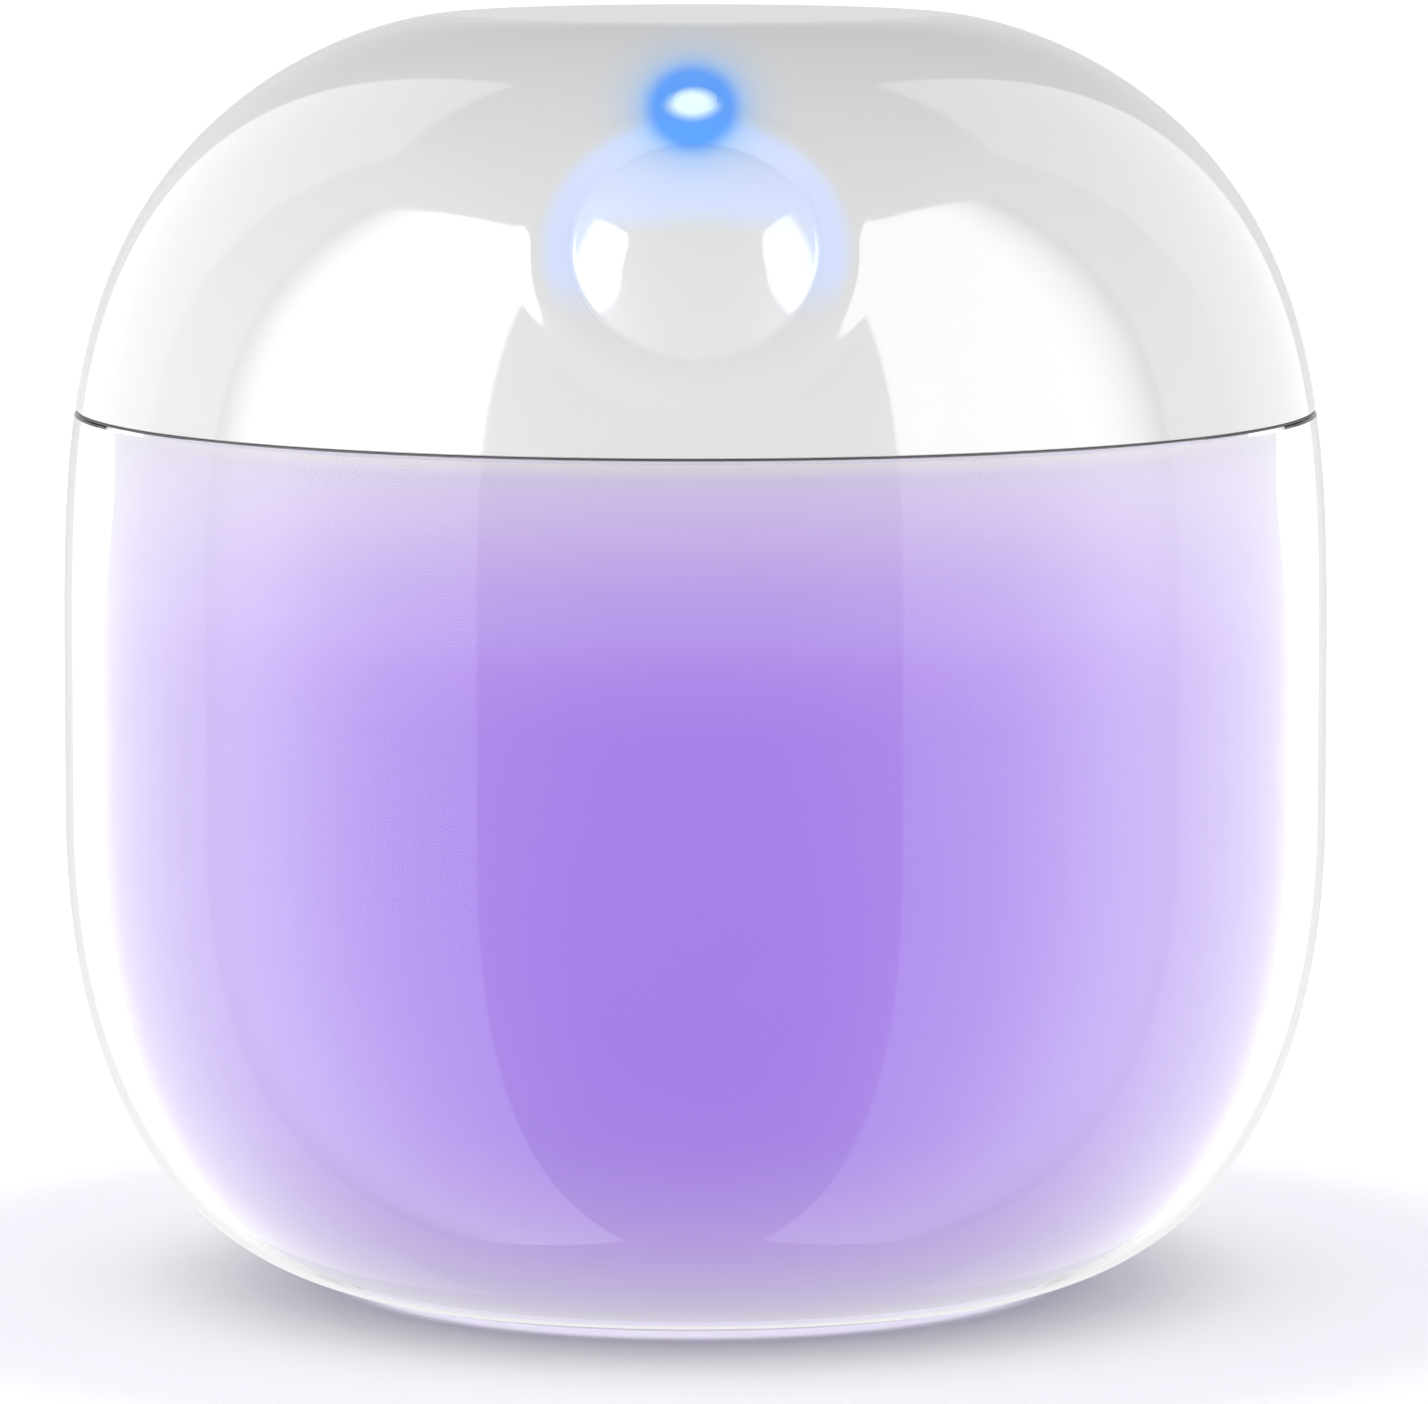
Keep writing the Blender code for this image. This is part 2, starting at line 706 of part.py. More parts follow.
def make_lid(hinge, button_axis, light_axis, finishes):
    """The white lid: a turned dome, its hollow, the button's dish and the openings for light and charger."""
    outer = dome_outline(lid_bottom, 0, 10)
    lid = paint(turned("lid_shell", outer + [(0, lid_bottom)], shell_segments), finishes["white_gloss"])
    place(lid, hinge)
    cut(lid, make_lid_core(hinge, button_axis))

    # The back of the lid opens round the ears of the base, and its own knuckle stands between them.
    reach = hinge_half_length + seat_gap
    notch_top = seam_height + hinge_barrel_radius + seat_gap
    notch = block(
        "lid_hinge_notch",
        (-reach, liner_radius, lid_bottom - overrun),
        (reach, case_radius + overrun, notch_top),
    )
    cut(lid, place(notch, hinge))
    half = lid_knuckle_length / 2
    tongue = knuckle("lid_knuckle", -half, half, knuckle_root_depth, knuckle_root_height, knuckle_back, 1)
    join(lid, place(tongue, hinge, hinge_place, along_x))
    bore = rod("knuckle_bore", hinge_pin_radius + knuckle_play, -hinge_half_length, hinge_half_length)
    cut(lid, place(bore, hinge, hinge_place, along_x))

    cut(lid, attach(make_button_dish(), button_axis))
    light_hole = rod("light_hole", light_radius + close_gap, -light_length, overrun)
    cut(lid, attach(light_hole, light_axis))
    slot_width = socket_width + 2 * socket_clearance
    slot_height = socket_height + 2 * socket_clearance
    slot_shape = rectangle(slot_width, slot_height, slot_height / 2)
    slot_start = case_radius + overrun
    slot = plate("socket_slot", slot_shape, 0, slot_start - socket_mouth + socket_depth)
    cut(lid, place(slot, hinge, (0, slot_start, socket_middle), facing_front))

    for number, angle in enumerate(liner_boss_angles, 1):
        top = liner_top + liner_screw_length
        pilot = rod(f"boss_pilot_{number}", screw_shank_radius + pilot_gap, liner_top, top, screw_segments)
        cut(lid, place(pilot, hinge, around(liner_boss_circle, angle)))
    for side, name in ((-1, "left"), (1, "right")):
        low = button_board_face - overrun
        high = button_board_back + board_screw_length + close_gap
        pilot = rod(f"post_pilot_{name}", screw_shank_radius + pilot_gap, low, high, screw_segments)
        cut(lid, attach(pilot, button_axis, (side * button_board_post_offset, 0, 0)))
    return lid


def make_liner(hinge, finishes):
    """The liner: a flange with the seal's groove, a dish that spreads the light, and posts for the boards."""
    groove_inner = gasket_inner_radius - close_gap
    groove_outer = gasket_inner_radius + gasket_width + close_gap
    groove_top = liner_bottom + gasket_height
    collar_inner = window_radius + seat_gap
    collar_outer = collar_inner + collar_wall

    def dish(height_low, height_high, inset, count):
        """An S curve from the dish's rim up to its roof."""
        curve = []
        for share in steps(0, 1, count):
            radius = dish_rim_radius - inset + (dish_roof_radius - dish_rim_radius) * share
            height = height_low + (height_high - height_low) * (1 - math.cos(math.pi * share)) / 2
            curve.append((radius, height))
        return curve

    underside = (
        [(window_opening_radius, dish_roof)]
        + dish(liner_bottom, dish_roof, 0, 5)[::-1]
        + [(groove_inner, liner_bottom), (groove_inner, groove_top)]
        + [(groove_outer, groove_top), (groove_outer, liner_bottom), (liner_radius, liner_bottom)]
    )
    topside = (
        [(window_opening_radius, roof_top), (collar_inner, roof_top), (collar_inner, collar_top)]
        + [(collar_outer, collar_top), (collar_outer, roof_top)]
        + dish(liner_top, roof_top, -dish_thickening, 5)[::-1]
        + [(liner_radius, liner_top)]
    )
    outline = topside + underside[::-1]
    liner = turned("lid_liner", outline, inner_segments, ring=True)
    place(paint(liner, finishes["white_satin"]), hinge)

    for side, name in ((-1, "left"), (1, "right")):
        post_top = collar_top - lamp_board_post_drop
        post = rod(f"lamp_post_{name}", lamp_board_post_radius, dish_roof + liner_wall / 2, post_top)
        pilot = rod(
            f"lamp_pilot_{name}",
            screw_shank_radius + pilot_gap,
            lamp_board_top - board_screw_length - close_gap,
            collar_top + overrun,
            screw_segments,
        )
        spot = (side * lamp_board_screw_offset, 0, 0)
        join(liner, place(post, hinge, spot))
        cut(liner, place(pilot, hinge, spot))
    for number, (x, y) in enumerate(board_post_places, 1):
        top = control_board_bottom - close_gap
        post = rod(f"board_post_{number}", board_post_radius, dish_roof + liner_wall / 2, top, screw_segments)
        low = control_board_top - board_screw_length - close_gap
        pilot = rod(
            f"board_pilot_{number}", screw_shank_radius + pilot_gap, low, top + overrun, screw_segments
        )
        join(liner, place(post, hinge, (x, y, 0)))
        cut(liner, place(pilot, hinge, (x, y, 0)))
    for number, angle in enumerate(liner_boss_angles, 1):
        spot = around(liner_boss_circle, angle)
        low = liner_bottom - overrun
        sink = rod(
            f"liner_sink_{number}", screw_head_radius + seat_gap, low, liner_bottom + screw_head_height
        )
        hole_radius = screw_shank_radius + pilot_gap
        hole = rod(f"liner_hole_{number}", hole_radius, low, liner_top + overrun, screw_segments)
        cut(liner, place(sink, hinge, spot), place(hole, hinge, spot))
    for name, angle in magnet_angles.items():
        pocket = block(
            f"liner_magnet_pocket_{name}",
            (-magnet_width / 2 - close_gap, -magnet_length / 2 - close_gap, liner_bottom + magnet_cover),
            (magnet_width / 2 + close_gap, magnet_length / 2 + close_gap, liner_top + overrun),
        )
        cut(liner, place(pocket, hinge, around(magnet_circle_radius, angle), (0, 0, angle)))
    return liner


def make_gasket(hinge, finishes):
    """The seal: a flat ring in the liner's groove, with a soft lip that faces the rim ring."""
    outer = gasket_inner_radius + gasket_width
    top = liner_bottom + gasket_height - close_gap
    bottom = rim_top + seat_gap
    lip = gasket_width * gasket_lip_share
    outline = [
        (gasket_inner_radius, top),
        (outer, top),
        (outer, bottom + lip),
        (outer - lip, bottom),
        (gasket_inner_radius + lip, bottom),
        (gasket_inner_radius, bottom + lip),
    ]
    gasket = turned("lid_gasket", outline, inner_segments, ring=True)
    return place(paint(gasket, finishes["dark_seal"]), hinge)


def make_lamps(hinge, finishes):
    """The lamp window, the lamp board and the four lamps that hang under it."""
    window = rod("uvc_window", window_radius, window_bottom, window_top, button_segments)
    place(paint(window, finishes["quartz"]), hinge)
    shape = rectangle(lamp_board_width, lamp_board_depth, lamp_board_corner)
    board = plate("uvc_board", shape, lamp_board_bottom, lamp_board_top)
    place(paint(board, finishes["white_board"]), hinge)
    for side, name in ((-1, "left"), (1, "right")):
        spot = (side * lamp_board_screw_offset, 0, 0)
        hole_radius = screw_shank_radius + pilot_gap
        low = lamp_board_bottom - overrun
        hole = rod(f"lamp_board_hole_{name}", hole_radius, low, lamp_board_top + overrun, screw_segments)
        cut(board, place(hole, hinge, spot))
        fastener = screw(f"lamp_board_screw_{name}", board_screw_length, finishes["steel"])
        place(fastener, hinge, (spot[0], 0, lamp_board_top + close_gap))
    corners = ((-1, -1), (1, -1), (-1, 1), (1, 1))
    for number, (sx, sy) in enumerate(corners, 1):
        lamp = plate(
            f"uvc_lamp_{number}",
            rectangle(lamp_size, lamp_size, lamp_size * lamp_corner_share, 2),
            lamp_bottom,
            lamp_bottom + lamp_height,
        )
        place(paint(lamp, finishes["lamp_package"]), hinge, (sx * lamp_spacing / 2, sy * lamp_spacing / 2, 0))


def control_board_shape():
    """A round board, straight at the front, with a tab under the indicator light and one for the socket."""
    front = -control_board_front
    half_light = light_tab_width / 2
    half_socket = socket_tab_width / 2
    start = math.asin(front / control_board_radius)
    left_end = math.pi - start
    socket_turn = math.asin(half_socket / control_board_radius)
    right_arc = steps(start, math.pi / 2 - socket_turn, 14)
    left_arc = steps(math.pi / 2 + socket_turn, left_end, 14)
    light_front = -indicator_reach - light_tab_margin
    outline = [around(control_board_radius, turn).xy for turn in right_arc]
    outline += [(half_socket, socket_tab_reach), (-half_socket, socket_tab_reach)]
    outline += [around(control_board_radius, turn).xy for turn in left_arc]
    outline += [(-half_light, front), (-half_light, light_front)]
    outline += [(half_light, light_front), (half_light, front)]
    return outline


def make_control_board(hinge, finishes):
    board = plate("control_board", control_board_shape(), control_board_bottom, control_board_top)
    place(paint(board, finishes["green_board"]), hinge)
    for number, (x, y) in enumerate(board_post_places, 1):
        low = control_board_bottom - overrun
        hole_radius = screw_shank_radius + pilot_gap
        hole = rod(f"board_hole_{number}", hole_radius, low, control_board_top + overrun, screw_segments)
        cut(board, place(hole, hinge, (x, y, 0)))
        fastener = screw(f"board_screw_{number}", board_screw_length, finishes["steel"])
        place(fastener, hinge, (x, y, control_board_top + close_gap))
    bottom = control_board_top + close_gap
    chip = plate("control_chip", rectangle(chip_size, chip_size), bottom, bottom + chip_height)
    place(paint(chip, finishes["chip"]), hinge, (*chip_place, 0))
    sensor_top = control_board_bottom - close_gap
    sensor = plate(
        "lid_sensor", rectangle(sensor_size, sensor_size), sensor_top - sensor_height, sensor_top
    )
    place(paint(sensor, finishes["chip"]), hinge, (*sensor_place, 0))


def make_battery(hinge, finishes):
    """The flat battery on the control board, and the foam between it and the lid's roof."""
    shape = rectangle(battery_length, battery_width, battery_corner)
    battery = plate("battery", shape, battery_bottom, battery_top)
    place(paint(battery, finishes["foil"]), hinge)
    pad = plate(
        "battery_pad", rectangle(pad_length, pad_width), battery_top + close_gap, lid_roof - seat_gap
    )
    place(paint(pad, finishes["foam"]), hinge)


def make_socket(hinge, finishes):
    """The charging socket: an oval metal sleeve, open to the back, with a tongue inside."""
    shape = rectangle(socket_width, socket_height, socket_height / 2)
    socket = plate("usb_c_socket", shape, 0, socket_depth)
    inner_height = socket_height - 2 * socket_wall
    inner_shape = rectangle(socket_width - 2 * socket_wall, inner_height, inner_height / 2)
    cavity = plate("socket_cavity", inner_shape, -overrun, socket_cavity)
    tongue_shape = rectangle(tongue_width, tongue_thickness)
    tongue = plate("socket_tongue", tongue_shape, tongue_inset, socket_cavity + socket_wall)
    mouth = (0, socket_mouth, socket_middle)
    cut(socket, place(cavity, hinge, mouth, facing_front))
    join(socket, place(tongue, hinge, mouth, facing_front))
    return place(paint(socket, finishes["steel"]), hinge, mouth, facing_front)


def make_indicator(hinge, light_axis, finishes):
    """The small indicator lamp on the control board, and the pipe that brings its light to the surface."""
    bottom = control_board_top + close_gap
    lamp = plate("indicator_lamp", rectangle(indicator_length, indicator_width), bottom, indicator_top)
    place(paint(lamp, finishes["blue_light"]), hinge, (0, -indicator_reach, 0))
    outline = [
        (0, light_crown),
        (light_radius * light_crown_share, light_crown / 2),
        (light_radius, 0),
        (light_radius, -light_head_length),
        (light_stem_radius, -light_head_length),
        (light_stem_radius, -light_length),
        (0, -light_length),
    ]
    pipe = turned("light_pipe", outline, small_segments)
    return attach(paint(pipe, finishes["blue_light"]), light_axis)


def make_button(button_axis, finishes):
    """The push button: a hollow dome with a skirt, a flange behind the lid wall and a post for the switch."""
    dome = []
    for turn in steps(math.pi / 2, 0, 7):
        dome.append((dome_radius * math.cos(turn), dome_height * math.sin(turn) - dome_sink))
    dome[0] = (0, dome_height - dome_sink)
    hollow_top = dome_height - dome_sink - button_roof
    inner_radius = dome_radius - button_skirt_wall
    hollow = [
        (inner_radius, button_flange_bottom),
        (inner_radius, -dome_sink),
        ((inner_radius + button_post_radius) / 2, hollow_top - dome_sink),
        (button_post_radius, hollow_top),
        (button_post_radius, button_flange_bottom),
        (0, button_flange_bottom),
    ]
    flange = [
        (dome_radius, button_flange_top),
        (button_flange_radius, button_flange_top),
        (button_flange_radius, button_flange_bottom),
    ]
    button = turned("power_button", dome + flange + hollow, button_segments)
    return attach(paint(button, finishes["button_white"]), button_axis)


def make_switch(lid_frame, button_axis, finishes):
    """The switch and its board, which stay with the lid, and the switch's stem, which the button pushes."""
    body = plate("tact_switch", rectangle(switch_size, switch_size), switch_bottom, switch_top)
    well_bottom = switch_top - switch_stem_sink - switch_travel_room
    well = rod("switch_well", switch_stem_radius + close_gap, well_bottom, switch_top + overrun)
    cut(body, attach(well, lid_frame))
    attach(paint(body, finishes["switch_black"]), lid_frame)
    stem = rod("switch_stem", switch_stem_radius, switch_top - switch_stem_sink, stem_top)
    attach(paint(stem, finishes["switch_black"]), button_axis)

    middle = (button_board_above - button_board_below) / 2
    shape = rectangle(2 * button_board_half_width, button_board_above + button_board_below)
    board = plate("button_board", moved(shape, 0, middle), button_board_back, button_board_face)
    attach(paint(board, finishes["green_board"]), lid_frame)
    for side, name in ((-1, "left"), (1, "right")):
        spot = (side * button_board_post_offset, 0, 0)
        low = button_board_back - overrun
        hole_radius = screw_shank_radius + pilot_gap
        hole = rod(f"button_board_hole_{name}", hole_radius, low, button_board_face + overrun, screw_segments)
        cut(board, attach(hole, lid_frame, spot))
        fastener = screw(f"button_board_screw_{name}", board_screw_length, finishes["steel"])
        attach(fastener, lid_frame, (spot[0], 0, button_board_back - close_gap), (math.pi, 0, 0))


def make_lid_assembly(finishes):
    hinge = empty("lid_hinge", hinge_place)
    button_place, button_turn = frame_of_front(button_middle, button_tilt)
    switch_frame = empty("switch_frame", button_place, button_turn, hinge)
    button_axis = empty("button_axis", button_place, button_turn, hinge)
    light_place, light_rotation = frame_of_front(light_point, light_tilt)
    light_axis = empty("light_axis", light_place, light_rotation, hinge)

    make_lid(hinge, switch_frame, light_axis, finishes)
    make_liner(hinge, finishes)
    make_gasket(hinge, finishes)
    make_lamps(hinge, finishes)
    make_control_board(hinge, finishes)
    make_battery(hinge, finishes)
    make_socket(hinge, finishes)
    make_indicator(hinge, light_axis, finishes)
    make_button(button_axis, finishes)
    make_switch(switch_frame, button_axis, finishes)
    for name, angle in magnet_angles.items():
        bottom = liner_bottom + magnet_cover + close_gap
        magnet, location, rotation = make_magnet(f"lid_magnet_{name}", angle, bottom, finishes)
        place(magnet, hinge, location, rotation)
    for number, angle in enumerate(liner_boss_angles, 1):
        fastener = screw(f"liner_screw_{number}", liner_screw_length, finishes["steel"])
        spot = around(liner_boss_circle, angle, liner_bottom + screw_head_height - close_gap)
        place(fastener, hinge, spot, (math.pi, 0, 0))


def main():
    for old in list(bpy.data.objects):
        bpy.data.objects.remove(old, do_unlink=True)
    finishes = make_finishes()
    make_base(finishes)
    make_lid_assembly(finishes)


main()
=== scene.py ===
# %% [markdown]
# A pacifier sterilizer case: a clear bowl with a violet chamber, under a glossy white lid with a push
# button and a blue indicator light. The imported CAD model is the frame. Most of what shows is made again
# here as fine surfaces that are worked out with numpy, and each of them rides on the CAD body that it
# belongs to.

import math

import bmesh
import bpy
import numpy as np
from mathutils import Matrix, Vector


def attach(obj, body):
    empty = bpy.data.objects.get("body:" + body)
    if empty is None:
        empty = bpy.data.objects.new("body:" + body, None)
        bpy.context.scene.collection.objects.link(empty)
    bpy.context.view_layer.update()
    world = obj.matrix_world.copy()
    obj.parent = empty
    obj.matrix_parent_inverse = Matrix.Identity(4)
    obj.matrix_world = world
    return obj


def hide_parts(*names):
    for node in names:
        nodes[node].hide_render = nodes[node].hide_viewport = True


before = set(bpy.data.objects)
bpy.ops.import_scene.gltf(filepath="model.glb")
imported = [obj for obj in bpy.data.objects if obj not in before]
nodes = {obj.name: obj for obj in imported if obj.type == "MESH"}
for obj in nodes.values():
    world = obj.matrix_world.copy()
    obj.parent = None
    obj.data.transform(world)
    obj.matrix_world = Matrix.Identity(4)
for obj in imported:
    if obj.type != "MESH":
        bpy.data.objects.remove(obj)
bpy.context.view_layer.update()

# %% [markdown]
# The outline of the closed case was measured as two superellipse arcs with a flat top and a nearly flat
# foot. They are written here as functions of a turn from 0 at the widest ring to a quarter turn at the top
# or the foot, so that every wall, inner or outer, comes from the same few lengths.

# %% Outline of the case
case_radius = 0.034
case_height = 0.0684
seam_height = 0.0473
lid_bottom = 0.04736
bowl_top = 0.047225
shoulder_start = 0.03145
bowl_start = 0.02564
top_flat_radius = 0.0130
foot_flat_radius = 0.0139
shoulder_out, shoulder_up = 1.628, 3.505
bend_out, bend_down = 2.714, 2.167


def shoulder(turn, depth=0.0):
    """Radius and height on the shoulder, moved in by depth: radius = flat + width * cos(turn)^(2/1.628) and
    height = start + rise * sin(turn)^(2/3.505)."""
    across = np.clip(np.cos(turn), 0, 1) ** (2 / shoulder_out)
    along = np.sin(turn) ** (2 / shoulder_up)
    radius = top_flat_radius + (case_radius - top_flat_radius - depth) * across
    return np.column_stack([radius, shoulder_start + (case_height - shoulder_start - depth) * along])


def bowl_bend(turn, depth=0.0, floor=0.0):
    """Radius and height on the bowl, moved in by depth: radius = flat + width * cos(turn)^(2/2.714) and
    height = start - fall * sin(turn)^(2/2.167)."""
    across = np.clip(np.cos(turn), 0, 1) ** (2 / bend_out)
    along = np.sin(turn) ** (2 / bend_down)
    radius = foot_flat_radius + (case_radius - foot_flat_radius - depth) * across
    return np.column_stack([radius, bowl_start - (bowl_start - floor) * along])


def shoulder_turn(height, depth=0.0):
    """The turn at which the shoulder reaches a height: the height formula, solved for the turn."""
    return math.asin(((height - shoulder_start) / (case_height - shoulder_start - depth)) ** (shoulder_up / 2))


def bend_turn(radius, depth=0.0):
    """The turn at which the bowl reaches a radius: the radius formula, solved for the turn."""
    width = case_radius - foot_flat_radius - depth
    return math.acos(((radius - foot_flat_radius) / width) ** (bend_out / 2))


def wall_radius(height, depth=0.0):
    """The radius of the shoulder at a height."""
    return float(shoulder(np.array([shoulder_turn(height, depth)]), depth)[0, 0])


def even(points, count):
    """The same line with count points at even steps along it, found by interpolating over arc length."""
    points = np.asarray(points, float)
    steps = np.hypot(*np.diff(points, axis=0).T)
    length = np.concatenate([[0], np.cumsum(steps)])
    keep = np.concatenate([[True], steps > 1e-9])
    wanted = np.linspace(0, length[-1], count)
    return np.column_stack([np.interp(wanted, length[keep], points[keep, axis]) for axis in (0, 1)])


def fine(curve, start, end, count, *rest):
    """A curve function between two turns, as count even steps."""
    return even(curve(np.linspace(start, end, 2001), *rest), count)


lid_edge_radius = wall_radius(lid_bottom)
print("widest ring:", case_radius * 2000, "mm; at the lid's edge:", round(lid_edge_radius * 2000, 2), "mm")

# %% [markdown]
# Three helpers make every mesh. A turned solid is a grid: one profile of radius and height, repeated round
# the axis as whole arrays. A prism is a flat outline, given a thickness. Both return points and faces, so
# that several can be joined into one mesh before Blender sees it.

# %% Grids and prisms


def turned(profile, segments=256, ring=False):
    """Points r cos(a), r sin(a), z for every profile point and every angle a, and the quads between them.
    The angles are even steps, or an array of their own."""
    profile = np.asarray(profile, float)
    if np.ndim(segments):
        angles = np.asarray(segments)
    else:
        angles = np.linspace(0, 2 * np.pi, segments, endpoint=False)
    segments = len(angles)
    points = np.stack(
        [
            profile[:, :1] * np.cos(angles),
            profile[:, :1] * np.sin(angles),
            np.repeat(profile[:, 1:], segments, axis=1),
        ],
        axis=-1,
    )
    rows = len(profile)
    row = np.arange(rows if ring else rows - 1)[:, None]
    column = np.arange(segments)[None, :]
    after = (row + 1) % rows
    side = (column + 1) % segments
    near, far = row * segments, after * segments
    quads = np.stack([near + column, near + side, far + side, far + column], axis=-1)
    return points.reshape(-1, 3), quads.reshape(-1, 4).tolist()


def prism(outline, start, end, axis="z"):
    """A flat outline of two coordinates, swept from start to end along an axis, with both ends closed."""
    outline = np.asarray(outline, float)
    count = len(outline)
    low = np.column_stack([outline, np.full(count, start)])
    high = np.column_stack([outline, np.full(count, end)])
    points = np.concatenate([low, high])
    if axis == "x":
        points = points[:, [2, 0, 1]]
    first = np.arange(count)
    after = (first + 1) % count
    faces = np.column_stack([first, after, after + count, first + count]).tolist()
    return points, faces + [first[::-1].tolist(), (first + count).tolist()]


def together(*shapes):
    """Several (points, faces) pairs as one."""
    points, faces, offset = [], [], 0
    for some_points, some_faces in shapes:
        points.append(some_points)
        faces += [[corner + offset for corner in face] for face in some_faces]
        offset += len(some_points)
    return np.concatenate(points), faces


sharp_angle = math.radians(40)


def add_mesh(name, shape):
    """A Blender object from points and faces: welded at its poles, faces out, smooth but for sharp edges."""
    points, faces = shape
    mesh = bpy.data.meshes.new(name)
    mesh.from_pydata(np.asarray(points).tolist(), [], faces)
    work = bmesh.new()
    work.from_mesh(mesh)
    bmesh.ops.remove_doubles(work, verts=work.verts, dist=1e-7)
    bmesh.ops.dissolve_degenerate(work, edges=work.edges, dist=1e-8)
    bmesh.ops.recalc_face_normals(work, faces=work.faces)
    work.to_mesh(mesh)
    work.free()
    mesh.shade_smooth()
    mesh.set_sharp_from_angle(angle=sharp_angle)
    made = bpy.data.objects.new(name, mesh)
    bpy.context.scene.collection.objects.link(made)
    return made


def piece(name, shape, material, body, *stands_for):
    """A finished piece from points and faces."""
    finish_piece(add_mesh(name, shape), material, body, *stands_for)


def finish_piece(made, material, body, *stands_for):
    """Gives a mesh its material, the body that it rides on and the CAD nodes that it stands for."""
    made.data.materials.clear()
    made.data.materials.append(material)
    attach(made, body)
    if stands_for:
        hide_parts(*stands_for)
    print(made.name, "has", len(made.data.polygons), "faces")


def cut(target, shapes):
    """Takes shapes out of a mesh with a Boolean for each, applies them, and shades the result smooth again."""
    for number, shape in enumerate(shapes):
        cutter = add_mesh(f"cutter_{number}", shape)
        step = target.modifiers.new("cut", "BOOLEAN")
        step.operation = "DIFFERENCE"
        step.solver = "EXACT"
        step.object = cutter
        graph = bpy.context.evaluated_depsgraph_get()
        result = bpy.data.meshes.new_from_object(target.evaluated_get(graph))
        target.modifiers.clear()
        target.data = result
        bpy.data.objects.remove(cutter, do_unlink=True)
    target.data.shade_smooth()
    target.data.set_sharp_from_angle(angle=sharp_angle)


# %% [markdown]
# A small node group breaks up each flat finish: soft blotches and a fine grain move the roughness and the
# surface a little, as they do on real moulded plastic. A second group paints the violet light of the
# chamber as a colour by height: pale under the seam, deep violet in the middle and lavender near the floor.
# Both read Object coordinates.

# %% Node groups


def new_group(name, inputs, outputs):
    """An empty node group with its sockets, and its input and output nodes."""
    group = bpy.data.node_groups.new(name, "ShaderNodeTree")
    for label, kind, value in inputs:
        socket = group.interface.new_socket(label, in_out="INPUT", socket_type=kind)
        if value is not None:
            socket.default_value = value
    for label, kind in outputs:
        group.interface.new_socket(label, in_out="OUTPUT", socket_type=kind)
    return group, group.nodes.new("NodeGroupInput"), group.nodes.new("NodeGroupOutput")


def math_node(tree, operation, first, second=None, clamp=False):
    """A Math node of two values, each a number or a socket."""
    node = tree.nodes.new("ShaderNodeMath")
    node.operation = operation
    node.use_clamp = clamp
    for socket, value in zip(node.inputs, (first, second)):
        if value is None:
            continue
        if isinstance(value, (int, float)):
            socket.default_value = value
        else:
            tree.links.new(value, socket)
    return node.outputs[0]


def ramp_node(tree, value, stops):
    """A colour ramp from (position, colour) stops."""
    node = tree.nodes.new("ShaderNodeValToRGB")
    elements = node.color_ramp.elements
    while len(elements) < len(stops):
        elements.new(0.5)
    for element, (position, colour) in zip(elements, stops):
        element.position = position
        element.color = (*colour, 1)
    tree.links.new(value, node.inputs[0])
    return node.outputs[0]


def grey(value):
    """The grey of one level."""
    return (value, value, value)


def make_grain():
    """Roughness = its middle + blotches, height = grain, colour = base * (1 + spread * (blotches + grain))."""
    group, inputs, outputs = new_group(
        "fine_grain",
        [
            ("Color", "NodeSocketColor", (0.8, 0.8, 0.8, 1)),
            ("Roughness", "NodeSocketFloat", 0.2),
            ("Roughness Spread", "NodeSocketFloat", 0.03),
            ("Grain Size", "NodeSocketFloat", 2500.0),
            ("Blotch Size", "NodeSocketFloat", 90.0),
            ("Colour Spread", "NodeSocketFloat", 0.02),
        ],
        [("Color", "NodeSocketColor"), ("Roughness", "NodeSocketFloat"), ("Height", "NodeSocketFloat")],
    )
    place = group.nodes.new("ShaderNodeTexCoord").outputs["Object"]
    grain = group.nodes.new("ShaderNodeTexNoise")
    blotch = group.nodes.new("ShaderNodeTexNoise")
    grain.inputs["Detail"].default_value = 1.0
    blotch.inputs["Detail"].default_value = 2.0
    for node, label in ((grain, "Grain Size"), (blotch, "Blotch Size")):
        group.links.new(place, node.inputs["Vector"])
        group.links.new(inputs.outputs[label], node.inputs["Scale"])
    centred = math_node(group, "SUBTRACT", blotch.outputs["Fac"], 0.5)
    wander = math_node(group, "MULTIPLY", centred, inputs.outputs["Roughness Spread"])
    rough = math_node(group, "ADD", inputs.outputs["Roughness"], wander, clamp=True)
    speck = math_node(group, "SUBTRACT", grain.outputs["Fac"], 0.5)
    half_blotch, half_speck = (math_node(group, "MULTIPLY", part, 0.5) for part in (centred, speck))
    tone = math_node(group, "ADD", half_blotch, half_speck)
    level = math_node(group, "ADD", math_node(group, "MULTIPLY", tone, inputs.outputs["Colour Spread"]), 1.0)
    scaled = group.nodes.new("ShaderNodeVectorMath")
    scaled.operation = "SCALE"
    group.links.new(inputs.outputs["Color"], scaled.inputs[0])
    group.links.new(level, scaled.inputs["Scale"])
    group.links.new(scaled.outputs[0], outputs.inputs["Color"])
    group.links.new(rough, outputs.inputs["Roughness"])
    group.links.new(grain.outputs["Fac"], outputs.inputs["Height"])
    return group


def height_of(tree):
    """The Z of the Object coordinates, in metres."""
    place = tree.nodes.new("ShaderNodeTexCoord").outputs["Object"]
    parts = tree.nodes.new("ShaderNodeSeparateXYZ")
    tree.links.new(place, parts.inputs[0])
    return parts.outputs["Z"]
